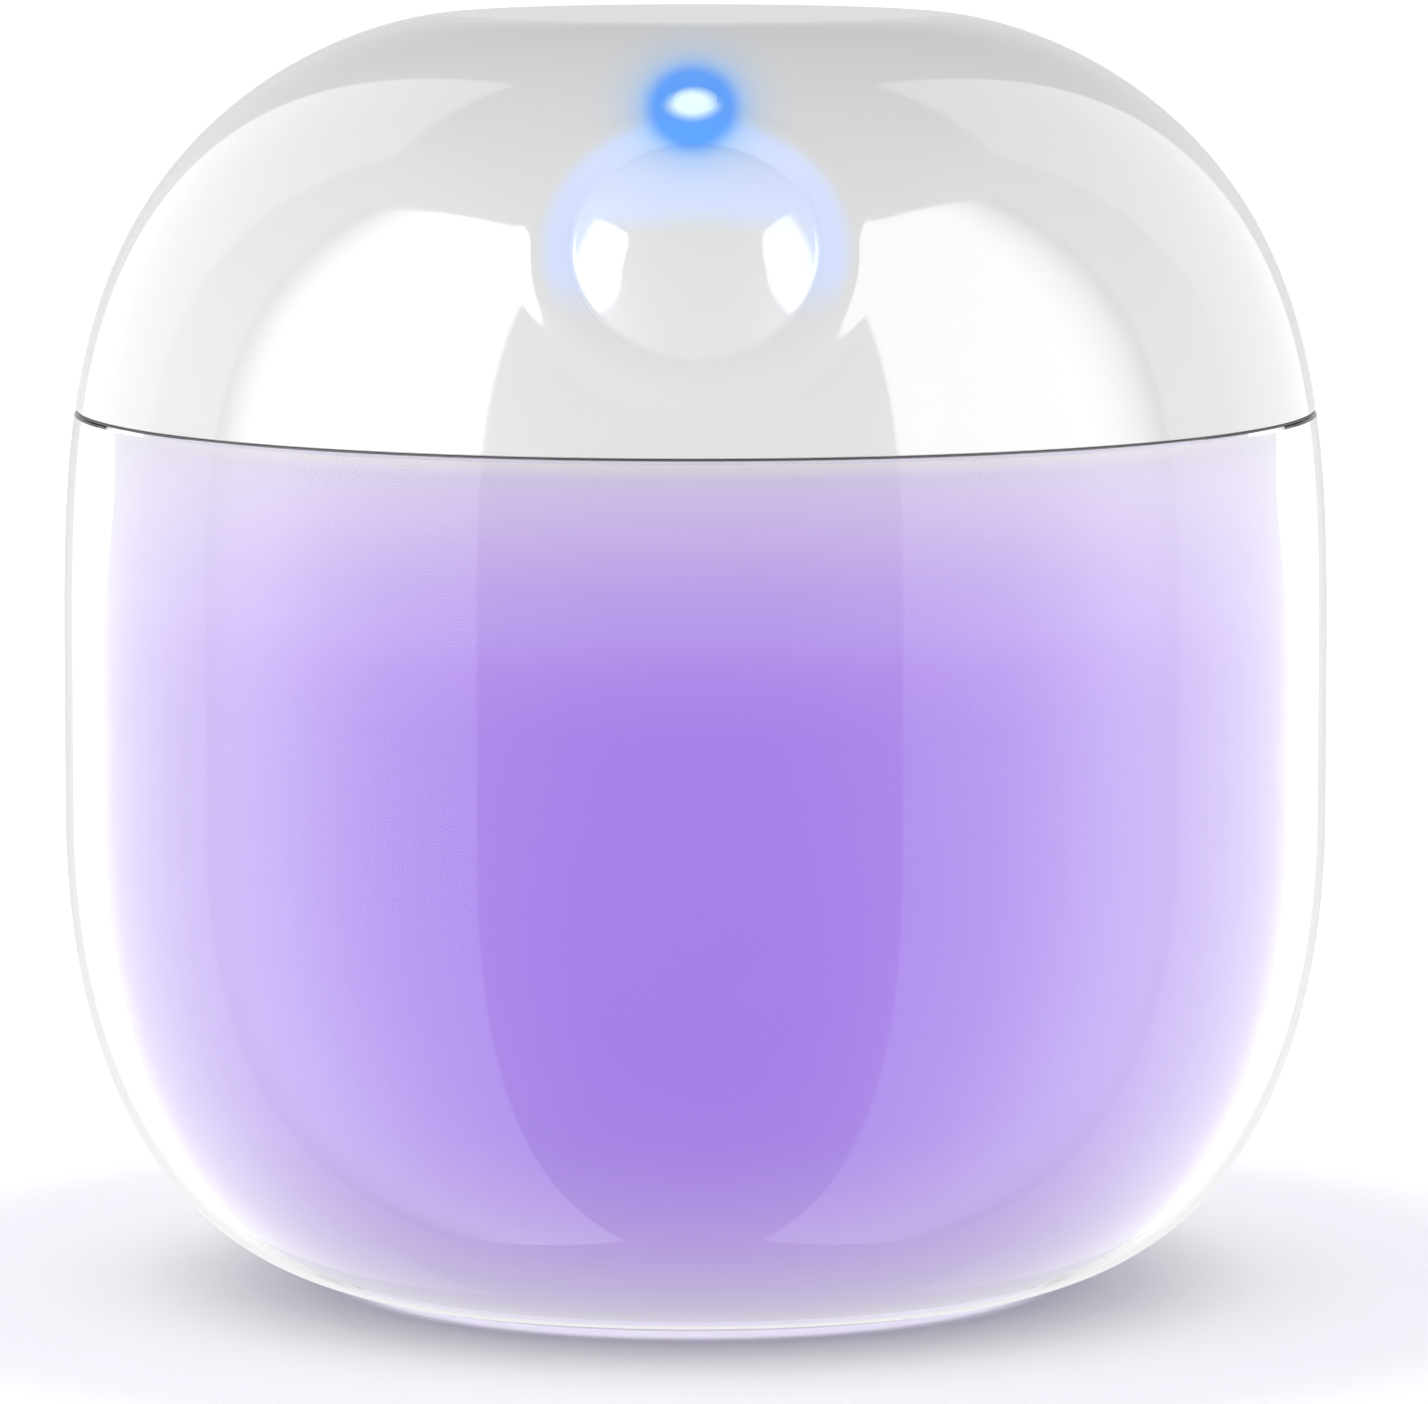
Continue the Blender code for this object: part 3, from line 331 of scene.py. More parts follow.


# The chamber's violet light, painted as a colour by height.
glow_stops = [
    (0.000, (0.33, 0.24, 0.55)),
    (0.055, (0.33, 0.22, 0.60)),
    (0.112, (0.33, 0.195, 0.63)),
    (0.206, (0.300, 0.160, 0.64)),
    (0.263, (0.280, 0.142, 0.65)),
    (0.700, (0.295, 0.162, 0.65)),
    (0.767, (0.330, 0.188, 0.66)),
    (0.811, (0.365, 0.238, 0.67)),
    (0.858, (0.385, 0.270, 0.65)),
    (0.905, (0.435, 0.328, 0.64)),
    (0.951, (0.490, 0.400, 0.65)),
    (0.975, (0.540, 0.475, 0.67)),
    (0.994, (0.780, 0.750, 0.79)),
]


def make_glow():
    """Colour of the chamber by height: a ramp over height / 47.2 mm."""
    group, _, outputs = new_group("chamber_glow", [], [("Color", "NodeSocketColor")])
    share = math_node(group, "DIVIDE", height_of(group), bowl_top)
    group.links.new(ramp_node(group, share, glow_stops), outputs.inputs["Color"])
    return group


grain_group = make_grain()
glow_group = make_glow()
print("node groups:", [group.name for group in bpy.data.node_groups])

# %% [markdown]
# Every finish is one Principled shader with the grain group in front of it. Values that are the same all
# over sit on the shader's own sockets. The helper below makes the common part, and the special ones add to
# it.

# %% Materials


def plain_finish(name, colour, roughness, grain=2500.0, bump=0.02, spread=0.03, tint=0.02, **sockets):
    """A Principled shader whose colour, roughness and bump come from the grain group."""
    material = bpy.data.materials.new(name)
    material.use_nodes = True
    tree = material.node_tree
    shader = tree.nodes["Principled BSDF"]
    node = tree.nodes.new("ShaderNodeGroup")
    node.node_tree = grain_group
    node.inputs["Color"].default_value = (*colour, 1)
    node.inputs["Roughness"].default_value = roughness
    node.inputs["Roughness Spread"].default_value = spread
    node.inputs["Grain Size"].default_value = grain
    node.inputs["Colour Spread"].default_value = tint
    tree.links.new(node.outputs["Color"], shader.inputs["Base Color"])
    tree.links.new(node.outputs["Roughness"], shader.inputs["Roughness"])
    if bump:
        bumps = tree.nodes.new("ShaderNodeBump")
        bumps.inputs["Strength"].default_value = bump
        bumps.inputs["Distance"].default_value = 0.00002
        tree.links.new(node.outputs["Height"], bumps.inputs["Height"])
        tree.links.new(bumps.outputs["Normal"], shader.inputs["Normal"])
    for label, value in sockets.items():
        shader.inputs[label.replace("_", " ")].default_value = value
    material.diffuse_color = (*colour, 1)
    return material, tree, shader, node


white_satin = plain_finish("white_satin", (0.78, 0.78, 0.79), 0.35, bump=0.04)[0]
# The foot pad's lavender colour and emission are painted light: the chamber's violet glow, as it shows through
# the bowl's floor.
soft_grey = plain_finish("soft_grey", (0.72, 0.68, 0.78), 0.55, bump=0.08, grain=1400.0)[0]
pad_glow_shader = soft_grey.node_tree.nodes["Principled BSDF"]
pad_glow_shader.inputs["Emission Color"].default_value = (0.50, 0.42, 0.70, 1)
pad_glow_shader.inputs["Emission Strength"].default_value = 0.7
# Black of the real seal, also used for the skirt that paints the shade in the seam.
dark_seal = plain_finish("dark_seal", (0.035, 0.035, 0.04), 0.6, bump=0.05)[0]
steel = plain_finish("steel", (0.58, 0.58, 0.60), 0.24, Metallic=1.0)[0]
magnet = plain_finish("magnet", (0.50, 0.50, 0.52), 0.3, Metallic=1.0)[0]
white_board = plain_finish("white_board", (0.78, 0.78, 0.76), 0.4, bump=0.03)[0]
green_board = plain_finish("green_board", (0.03, 0.20, 0.09), 0.4, tint=0.2)[0]
lamp_package = plain_finish("lamp_package", (0.70, 0.64, 0.44), 0.4)[0]
chip_finish = plain_finish("chip", (0.03, 0.03, 0.03), 0.5, tint=0.3)[0]
foil = plain_finish("foil", (0.62, 0.63, 0.65), 0.3, bump=0.2, grain=700.0, Metallic=0.8)[0]
foam = plain_finish("foam", (0.10, 0.10, 0.11), 0.9, bump=0.6, grain=1800.0, tint=0.5)[0]
switch_black = plain_finish("switch_black", (0.04, 0.04, 0.04), 0.45, tint=0.3)[0]

# %% [markdown]
# Clear parts are real glass to the renderer: full transmission, one index and hardly any roughness. The
# bowl gets a low index, because the photographed bowl bends hardly any light and mirrors the studio lamps
# far more weakly than the lid does.

# %% Clear finishes
clear = {"bump": 0.0, "spread": 0.01, "tint": 0.004, "Transmission_Weight": 1.0}
clear_bowl = plain_finish("clear_bowl", (0.985, 0.98, 0.99), 0.01, IOR=1.2, **clear)[0]
quartz = plain_finish("quartz", (0.98, 0.98, 0.99), 0.01, IOR=1.46, **clear)[0]

# %% [markdown]
# The chamber is lit violet, and that light is painted on the cup and rim: its colour comes from the glow
# group, and a little of it is given off as light.
# A rough coat that strengthens towards the sides stands for the frosted skin of the cup, which mirrors the
# pale studio.

# %% Violet finish


def painted_glow_finish(name, coat_stops):
    """The grain group over the glow group, with a Layer Weight that drives the rough coat."""
    material, tree, shader, node = plain_finish(name, (0.4, 0.25, 0.8), 0.5, bump=0.0)
    glow = tree.nodes.new("ShaderNodeGroup")
    glow.node_tree = glow_group
    tree.links.new(glow.outputs["Color"], node.inputs["Color"])
    tree.links.new(glow.outputs["Color"], shader.inputs["Emission Color"])
    shader.inputs["Emission Strength"].default_value = 0.25
    facing = tree.nodes.new("ShaderNodeLayerWeight")
    facing.inputs["Blend"].default_value = 0.5
    coat = ramp_node(tree, facing.outputs["Facing"], [(place, grey(level)) for place, level in coat_stops])
    tree.links.new(coat, shader.inputs["Coat Weight"])
    shader.inputs["Coat Roughness"].default_value = 0.4
    shader.inputs["Coat IOR"].default_value = 4.0
    shader.inputs["Sheen Weight"].default_value = 1.0
    shader.inputs["Sheen Roughness"].default_value = 0.5
    shader.inputs["Specular IOR Level"].default_value = 0.05
    return material


near_stops = [(0.0, 0.02), (0.06, 0.06), (0.15, 0.18), (0.22, 0.31)]
side_stops = [(0.32, 0.50), (0.45, 0.76), (0.6, 0.9), (1.0, 0.9)]
# Painted light: the chamber's violet glow, as colour and a little emission on cup and rim.
violet_cup = painted_glow_finish("violet_cup", near_stops + side_stops)

# %% [markdown]
# The lid is glossy white. Blue light from the indicator, which spreads through the plastic round the lens, is
# painted into the lid's colour and emission: close by it is a strong blue, and further out it fades to the
# white. That is one distance from the lens in Object coordinates. The button is satin with a glossy coat only
# in two ovals, because the photographed button mirrors each lamp as one small oval. The indicator's light on
# the upper half of button and ring is painted too, as a lavender tint.

# %% White finish with the blue halo
light_place = Vector((0.0, -0.0230, 0.0649))
light_tilt = math.radians(56.33)
light_normal = Vector((0, -math.cos(light_tilt), math.sin(light_tilt)))
button_place = Vector((0.0, -0.0284, 0.0574))
button_tilt = math.radians(32.79)
button_normal = Vector((0, -math.cos(button_tilt), math.sin(button_tilt)))
button_up = Vector((0, math.sin(button_tilt), math.cos(button_tilt)))


def distance_from(tree, point):
    """Length of (Object coordinates - point), in metres."""
    place = tree.nodes.new("ShaderNodeTexCoord").outputs["Object"]
    node = tree.nodes.new("ShaderNodeVectorMath")
    node.operation = "DISTANCE"
    node.inputs[1].default_value = tuple(point)
    tree.links.new(place, node.inputs[0])
    return node.outputs["Value"]


def offset_from(tree, point):
    """Object coordinates - point."""
    place = tree.nodes.new("ShaderNodeTexCoord").outputs["Object"]
    node = tree.nodes.new("ShaderNodeVectorMath")
    node.operation = "SUBTRACT"
    node.inputs[1].default_value = tuple(point)
    tree.links.new(place, node.inputs[0])
    return node.outputs[0]


def along(tree, point, direction):
    """Dot product of (Object coordinates - point) with a direction, in metres."""
    node = tree.nodes.new("ShaderNodeVectorMath")
    node.operation = "DOT_PRODUCT"
    node.inputs[1].default_value = tuple(direction)
    tree.links.new(offset_from(tree, point), node.inputs[0])
    return node.outputs["Value"]


def mix_colour(tree, share, first, second):
    """The first colour where the share is 0 and the second where it is 1."""
    node = tree.nodes.new("ShaderNodeMix")
    node.data_type = "RGBA"
    tree.links.new(share, node.inputs[0])
    for socket, value in ((node.inputs[6], first), (node.inputs[7], second)):
        if isinstance(value, tuple):
            socket.default_value = (*value, 1)
        else:
            tree.links.new(value, socket)
    return node.outputs[2]


def stretch(tree, value, start, end):
    """0 at start, 1 at end, smooth between."""
    node = tree.nodes.new("ShaderNodeMapRange")
    node.interpolation_type = "SMOOTHSTEP"
    for socket, number in zip(node.inputs[1:5], (start, end, 0.0, 1.0)):
        socket.default_value = number
    tree.links.new(value, node.inputs[0])
    return node.outputs[0]


def glow_distance(tree):
    """Distance from the glow's middle, in mm, with the depth counted less: round as seen from the front."""
    scaled = tree.nodes.new("ShaderNodeVectorMath")
    scaled.operation = "MULTIPLY"
    scaled.inputs[1].default_value = (1000, 200, 1120)
    tree.links.new(offset_from(tree, glow_place), scaled.inputs[0])
    length = tree.nodes.new("ShaderNodeVectorMath")
    length.operation = "LENGTH"
    tree.links.new(scaled.outputs[0], length.inputs[0])
    return length.outputs["Value"]


def on_ramp(tree, value, reach, stops):
    """A colour ramp over a value that runs from 0 to reach."""
    share = math_node(tree, "DIVIDE", value, reach)
    return ramp_node(tree, share, [(place / reach, colour) for place, colour in stops])


glow_place = light_place + Vector((-0.00015, -0.00062, -0.0004))
core_place = light_place + Vector((-0.00015, -0.0004, -0.00026))
black = (0.0, 0.0, 0.0)
plain_white = (0.725, 0.725, 0.725)
painted_led_tint = (0.67, 0.755, 0.99)
azure = (0.10, 0.33, 0.93)
pale_azure = (0.26, 0.52, 0.90)


# Painted light of the indicator: a blue pool round the lens in the colour, and a glow in the emission.
def add_glow(tree, node, shader, base):
    """Colour: the base, mixed to azure near the lens. Emission: a pale core on the lens, and some azure."""
    reach = glow_distance(tree)
    shares = [(1.9, 1.0), (2.2, 0.88), (2.6, 0.66), (3.0, 0.42), (3.5, 0.23), (4.3, 0.08), (5.6, 0.0)]
    azure_share = on_ramp(tree, reach, 6.0, [(place, grey(share)) for place, share in shares])
    blue = mix_colour(tree, stretch(tree, reach, 2.9, 1.9), pale_azure, azure)
    coloured = mix_colour(tree, azure_share, base, blue)
    core = stretch(tree, distance_from(tree, core_place), 0.00170, 0.00060)
    tree.links.new(mix_colour(tree, core, coloured, black), node.inputs["Color"])
    rim_light = mix_colour(tree, azure_share, black, (0.01, 0.05, 0.14))
    tree.links.new(mix_colour(tree, core, rim_light, (0.80, 1.0, 1.0)), shader.inputs["Emission Color"])
    shader.inputs["Emission Strength"].default_value = 1.0


# Where the indicator's light is painted on button and ring: their upper side, which faces the lens.
def led_lit_upper(tree, rise):
    """1 above the button's middle, fading to 0 at 4.5 mm under it."""
    return stretch(tree, rise, -0.0045, -0.0010)


# The ring round the button gets the indicator's light painted on its upper side as a lavender tint.
white_lid, tree, shader, node = plain_finish("white_gloss", plain_white, 0.06, spread=0.02, tint=0.01)
rise = along(tree, button_place, button_up)
reach = distance_from(tree, button_place + button_normal * 0.0006)
led_lit_band = math_node(tree, "MULTIPLY", stretch(tree, reach, 0.0083, 0.0071), led_lit_upper(tree, rise))
add_glow(tree, node, shader, mix_colour(tree, led_lit_band, plain_white, painted_led_tint))

# The button's upper half gets the indicator's light painted on it as a lavender tint.
white_button, tree, shader, node = plain_finish("button_white", plain_white, 0.4, spread=0.02, tint=0.01)
shader.inputs["Specular IOR Level"].default_value = 0.1
shader.inputs["Coat Roughness"].default_value = 0.05
rise = along(tree, button_place, button_up)
reach = distance_from(tree, button_place)
led_lit_band = math_node(tree, "MULTIPLY", stretch(tree, reach, 0.0050, 0.0061), led_lit_upper(tree, rise))
led_lit_share = math_node(tree, "MAXIMUM", led_lit_band, stretch(tree, rise, -0.0003, 0.0020))
add_glow(tree, node, shader, mix_colour(tree, led_lit_share, plain_white, painted_led_tint))
oval_across, oval_drop = 0.0048, 0.0007
oval_width, oval_height = 0.00145, 0.0030
across = math_node(tree, "ABSOLUTE", along(tree, button_place, (1, 0, 0)))
oval_x = math_node(tree, "MULTIPLY", math_node(tree, "SUBTRACT", across, oval_across), 1 / oval_width)
oval_y = math_node(tree, "MULTIPLY", math_node(tree, "ADD", rise, oval_drop), 1 / oval_height)
oval = math_node(tree, "ADD", math_node(tree, "POWER", oval_x, 2), math_node(tree, "POWER", oval_y, 2))
tree.links.new(stretch(tree, oval, 1.15, 0.85), shader.inputs["Coat Weight"])

light_glow, tree, shader, node = plain_finish("blue_light", azure, 0.1, bump=0.0)
add_glow(tree, node, shader, azure)
print("materials:", len(bpy.data.materials))

# %% [markdown]
# The lid is one turned wall. Round the button its outer side is reshaped: a flat ring, a little below the
# wall at its sides, that blends into the wall further out. Booleans then open the button's hole, the lens
# hole, the charging slot and the hinge notch. The grid is finer round the button, so that the blend is
# smooth in the mirror images.

# %% Lid wall
lid_wall = 0.0018
button_hole_radius = 0.00643
cap_radius = 0.006425
lens_radius = 0.00112
ring_level = 0.00040
hinge_place = Vector((0, case_radius, seam_height))


def smooth(value, start, end):
    """0 at start, 1 at end, and 3 t^2 - 2 t^3 between."""
    share = np.clip((value - start) / (end - start), 0, 1)
    return share * share * (3 - 2 * share)


def press_ring(points):
    """Moves outer points near the button along its axis w: to the ring's level out to 6.4 mm from it, then
    by less and less out to 9.2 mm."""
    offset = points - np.array(button_place)
    w = offset @ np.array(button_normal)
    v = offset @ np.array(button_up)
    reach = np.hypot(offset[:, 0], v)
    near = (reach < 0.0095) & (w > -0.003)
    share = np.where(near, 1 - smooth(reach, 0.0064, 0.0092), 0)
    return points + ((ring_level - w) * share)[:, None] * np.array(button_normal)


edge_round = 0.00012
button_zone_top, button_zone_bottom = 0.0672, 0.0485
high_turn, low_turn = shoulder_turn(button_zone_top), shoulder_turn(button_zone_bottom)
outer_side = np.concatenate(
    [
        fine(shoulder, math.pi / 2, high_turn, 30)[:-1],
        fine(shoulder, high_turn, low_turn, 150)[:-1],
        fine(shoulder, low_turn, shoulder_turn(lid_bottom + edge_round), 6),
    ]
)
top_flat = np.column_stack([np.linspace(0, top_flat_radius, 14)[:-1], np.full(13, case_height)])
edge_turns = np.linspace(0, math.pi / 2, 4)[1:]
edge = np.column_stack(
    [
        lid_edge_radius - edge_round * (1 - np.cos(edge_turns)),
        lid_bottom + edge_round * (1 - np.sin(edge_turns)),
    ]
)
inner_side = fine(shoulder, shoulder_turn(lid_bottom, lid_wall), math.pi / 2, 40, lid_wall)
outer_profile = np.concatenate([top_flat, outer_side, edge])
inner_profile = np.concatenate([inner_side, [[0, case_height - lid_wall]]])
front = math.radians(21)
columns = np.concatenate(
    [
        np.linspace(-front, front, 160, endpoint=False),
        np.linspace(front, 2 * math.pi - front, 240, endpoint=False),
    ]
)
outer_count = len(outer_profile) * len(columns)
lid_points, lid_faces = turned(np.concatenate([outer_profile, inner_profile]), columns - math.pi / 2)
lid_points[:outer_count] = press_ring(lid_points[:outer_count])


def rod_between(start, end, radius, segments=96):
    """A cylinder from one point to another: circles in the plane across its axis."""
    start, end = Vector(start), Vector(end)
    turn = np.array((end - start).to_track_quat("Z", "Y").to_matrix())
    length = (end - start).length
    points, faces = turned([[0, 0], [radius, 0], [radius, length], [0, length]], segments)
    return points @ turn.T + np.array(start), faces


def stadium(width, height, count=24):
    """A slot outline: two half circles joined by straight sides."""
    half = np.pi / 2
    turns = np.concatenate([np.linspace(-half, half, count), np.linspace(half, 3 * half, count)])
    middle = np.where(np.arange(2 * count) < count, 1, -1) * (width - height) / 2
    return np.column_stack([middle + np.cos(turns) * height / 2, np.sin(turns) * height / 2])


def facing_back(shape, middle_height):
    """Turns a prism made along Z so that it runs along +Y, at a height."""
    points, faces = shape
    points = np.column_stack([points[:, 0], points[:, 2], points[:, 1] + middle_height])
    return points, faces


def box_shape(low, high):
    """A box from its lowest to its highest corner."""
    outline = [(low[0], low[1]), (high[0], low[1]), (high[0], high[1]), (low[0], high[1])]
    return prism(outline, low[2], high[2])


socket_middle, socket_width, socket_height = 0.05725, 0.00944, 0.0037
notch = 0.0086
hole_start = button_place - button_normal * 0.006
hole_end = button_place + button_normal * 0.004
lens_start = light_place - light_normal * 0.004
lens_end = light_place + light_normal * 0.002
lid = add_mesh("lid_body", (lid_points, lid_faces))
cut(
    lid,
    [
        rod_between(hole_start, hole_end, button_hole_radius, 192),
        rod_between(lens_start, lens_end, lens_radius + 0.00004),
        facing_back(prism(stadium(socket_width, socket_height), 0.024, 0.036), socket_middle),
        box_shape((-notch, 0.0308, 0.045), (notch, 0.037, 0.0497)),
    ],
)
knuckle_radius = 0.0021


def knuckle_outline(root_depth, root_height, root_back, side):
    """The side view of a hinge knuckle: part of a circle, closed by a root above (1) or below (-1) it."""
    turns = np.linspace(math.radians(40), -math.pi, 28)
    ring = np.column_stack([knuckle_radius * np.cos(turns), side * knuckle_radius * np.sin(turns)])
    root = [[-root_depth, side * 0.00035], [-root_depth, side * root_height], [-root_back, side * root_height]]
    return np.concatenate([ring, root]) + [hinge_place.y, hinge_place.z]


root = knuckle_outline(root_depth=0.0026, root_height=0.0042, root_back=0.0006, side=1)
lid_knuckle = add_mesh("lid_knuckle", prism(root, -0.004, 0.004, "x"))
pin_hole = Vector((0.006, 0, 0))
cut(lid_knuckle, [rod_between(hinge_place - pin_hole, hinge_place + pin_hole, 0.0010, 48)])
finish_piece(lid, white_lid, "lid", "lid_shell")
finish_piece(lid_knuckle, white_lid, "lid")

# %% [markdown]
# The button is a dome whose slope grows as r / (k (1 - (r / w)^2)). The lengths k and w were fitted to the
# two lamp reflections on it: they start 3.6 mm from the middle and end 6 mm from it. Outside them the dome
# turns level again and meets the ring of the lid, so that the joint between the two hardly shows.

# %% Push button


def button_profile():
    """Drop = -w^2 / (2 k) * ln(1 - r^2 / w^2) out to 6 mm; from there the slope falls to 0 at the ring."""
    radius = np.linspace(0, 0.0060, 70)
    rate, width = 0.01934, 0.0076
    drop = -(width**2) / (2 * rate) * np.log(1 - (radius / width) ** 2)
    edge_slope = radius[-1] / (rate * (1 - (radius[-1] / width) ** 2))
    share = np.linspace(0, 1, 14)[1:]
    reach = cap_radius - radius[-1]
    fall = edge_slope * reach * (1 - (1 - share) ** 3) / 3
    crown_height = ring_level + drop[-1] + fall[-1]
    dome = np.column_stack([radius, crown_height - drop])
    blend = np.column_stack([radius[-1] + reach * share, crown_height - drop[-1] - fall])
    flange_radius, top, bottom = 0.00705, -0.0023, -0.0031
    skirt = [[cap_radius, top], [flange_radius, top], [flange_radius, bottom], [0, bottom]]
    return np.concatenate([dome, blend, skirt])


def on_front(shape, place, normal, up):
    """Moves a shape made round Z to a button or lens: X stays, Y runs up the slope, Z points out."""
    points, faces = shape
    across = np.array([1.0, 0, 0])
    turn = np.stack([across, np.array(up), np.array(normal)])
    return points @ turn + np.array(place), faces


light_up = Vector((0, math.sin(light_tilt), math.cos(light_tilt)))
piece(
    "button_cap",
    on_front(turned(button_profile(), 256), button_place, button_normal, button_up),
    white_button,
    "button",
    "power_button",
)

# %% [markdown]
# The lens of the indicator is a short clear rod with a crowned end. It is lit from behind, so its middle is
# almost white and its edge is blue.

# %% Indicator lens
turns = np.linspace(0, 1, 12)
crown = np.column_stack([lens_radius * np.sin(turns * math.pi / 2), 0.00008 * np.cos(turns * math.pi / 2)])
head_end, rod_radius, rod_end = -0.0019, 0.0005, -0.00416
rod = [[lens_radius, head_end], [rod_radius, head_end], [rod_radius, rod_end], [0, rod_end]]
lens = np.concatenate([crown, rod])
piece(
    "indicator_lens",
    on_front(turned(lens, 64), light_place, light_normal, light_up),
    light_glow,
    "lid",
    "light_pipe",
)

# %% [markdown]
# The base: a clear outer bowl, a cup inside it with the chamber's violet light painted on it, a ring that
# closes the gap between the two at the top and carries the hinge ears, and a soft pad under the bowl.

# %% Clear bowl
bowl_wall = 0.0018
inner_floor = 0.0018
edge_floor = 0.0006
step_radius = 0.0204
recess_radius, recess_depth = 0.0196, 0.0015
lip_chamfer = 0.00015
outer_bowl = np.concatenate(
    [
        fine(shoulder, shoulder_turn(bowl_top - lip_chamfer), 0, 40),
        fine(bowl_bend, 0, bend_turn(recess_radius), 110)[1:],
    ]
)
inner_bowl = np.concatenate(
    [
        fine(shoulder, shoulder_turn(bowl_top, bowl_wall), 0, 30, bowl_wall),
        fine(bowl_bend, 0, bend_turn(step_radius, bowl_wall), 90, bowl_wall, edge_floor)[1:],
        [[step_radius - 0.0003, inner_floor], [0, inner_floor]],
    ]
)
lip = [[wall_radius(bowl_top) - lip_chamfer, bowl_top]]
recess = [[recess_radius, recess_depth], [0, recess_depth]]
bowl_profile = np.concatenate([inner_bowl[::-1], lip, outer_bowl, recess])
bowl = add_mesh("bowl", turned(bowl_profile, 256))
cut(bowl, [box_shape((-notch, 0.0292, 0.0440), (notch, 0.036, 0.048))])
finish_piece(bowl, clear_bowl, "base", "base_shell")

# %% [markdown]
# The foot pad is a soft disc in the recess under the bowl, and the face that the case rests on. A plain
# disc would show a step, so its edge carries on the bowl's bend and the whole profile is turned.

# %% Foot pad
foot_radius, foot_thickness = 0.0193, 0.0012
foot_edge = fine(bowl_bend, bend_turn(foot_radius), math.pi / 2, 30)
foot_profile = np.concatenate([[[0, foot_thickness], [foot_radius, foot_thickness]], foot_edge, [[0, 0]]])
# The pad carries the painted violet glow of the chamber.
piece("foot", turned(foot_profile, 128), soft_grey, "base", "foot_pad")

# %% [markdown]
# The cup holds the pacifiers. It is moulded in translucent plastic, and the violet light of the lamps inside
# is painted on it as its colour and a little emission. Its outer skin follows the bowl's bend at an even
# distance, because a gap that widens would leave a broad clear band at the bottom. At the top it flares out
# to a flange under the rim ring.

# %% Violet cup
cup_wall = 0.0012
cup_depth = 0.0028
cup_floor = 0.0036
skin_depth = 0.0020
skin_floor = 0.0020
skin_edge_floor = 0.0008
rim_radius = 0.03118
rim_bottom = 0.044125
rim_top = 0.047125
flange_top = rim_bottom
flange_bottom = flange_top - 0.0008
cup_side = fine(shoulder, shoulder_turn(flange_bottom, skin_depth), 0, 60, skin_depth)
flare = smooth(cup_side[:, 1], flange_bottom - 0.010, flange_bottom)
cup_side[:, 0] += (rim_radius - cup_side[0, 0]) * flare
cup_outer = np.concatenate(
    [
        cup_side,
        fine(bowl_bend, 0, bend_turn(step_radius + 0.0002, skin_depth), 90, skin_depth, skin_edge_floor)[1:],
        [[step_radius - 0.0001, skin_floor], [0, skin_floor]],
    ]
)
inner_depth, inner_bottom = cup_depth + cup_wall, cup_floor + cup_wall
cup_inner = np.concatenate(
    [
        fine(shoulder, shoulder_turn(flange_top, inner_depth), 0, 30, inner_depth),
        fine(bowl_bend, 0, math.pi / 2, 90, inner_depth, inner_bottom)[1:],
        [[0, inner_bottom]],
    ]
)
flange = [[rim_radius, flange_top], [rim_radius, flange_bottom]]
cup_profile = np.concatenate([cup_inner[::-1], flange, cup_outer])
piece("cup", turned(cup_profile, 256), violet_cup, "base", "chamber_cup")

# %% [markdown]
# The rim ring closes the gap between bowl and cup and carries two ears for the hinge pin. The ring is
# turned, and each ear is a prism of the knuckle's outline, since an ear is flat on both sides.

# %% Rim ring with the hinge ears
rim_inner, corner = 0.0260, 0.0005
rim_profile = [
    [rim_inner + corner, rim_top],
    [rim_radius, rim_top],
    [rim_radius, rim_bottom],
    [rim_inner + corner, rim_bottom],
    [rim_inner, rim_bottom + corner],
    [rim_inner, rim_top - corner],
]
piece("rim", turned(rim_profile, 256, ring=True), violet_cup, "base", "base_rim")
ear_start, ear_end = 0.0043, 0.0083
ear_outline = knuckle_outline(root_depth=0.00482, root_height=0.002975, root_back=0, side=-1)
ears = [prism(ear_outline, start, end, "x") for start, end in ((-ear_end, -ear_start), (ear_start, ear_end))]
piece("hinge_ears", together(*ears), white_satin, "base")

# %% [markdown]
# The pin is a steel rod with chamfered ends, through the ears and the lid's knuckle. It is turned about z
# like the other round pieces, and its points are then laid along x.

# %% Hinge pin
pin_half, pin_radius, chamfer = 0.0079, 0.0007, 0.0002
pin_end = np.array([[0, pin_half], [pin_radius - chamfer, pin_half], [pin_radius, pin_half - chamfer]])
pin_profile = np.concatenate([pin_end * [1, -1], pin_end[::-1]])
pin_points, pin_faces = turned(pin_profile, 32)
pin_points = pin_points[:, [2, 0, 1]] + np.array(hinge_place)
piece("pin", (pin_points, pin_faces), steel, "base", "hinge_pin")

# %% [markdown]
# The liner closes the lid from below: a flange with the seal and the screws, then a dish that rises to the
# window in front of the lamps. These show when the lid is open. A thin dark skirt on the seal reaches out into
# the seam, where it paints the shade of the gap as the dark line round the case, and it stops short of the
# hinge ears.

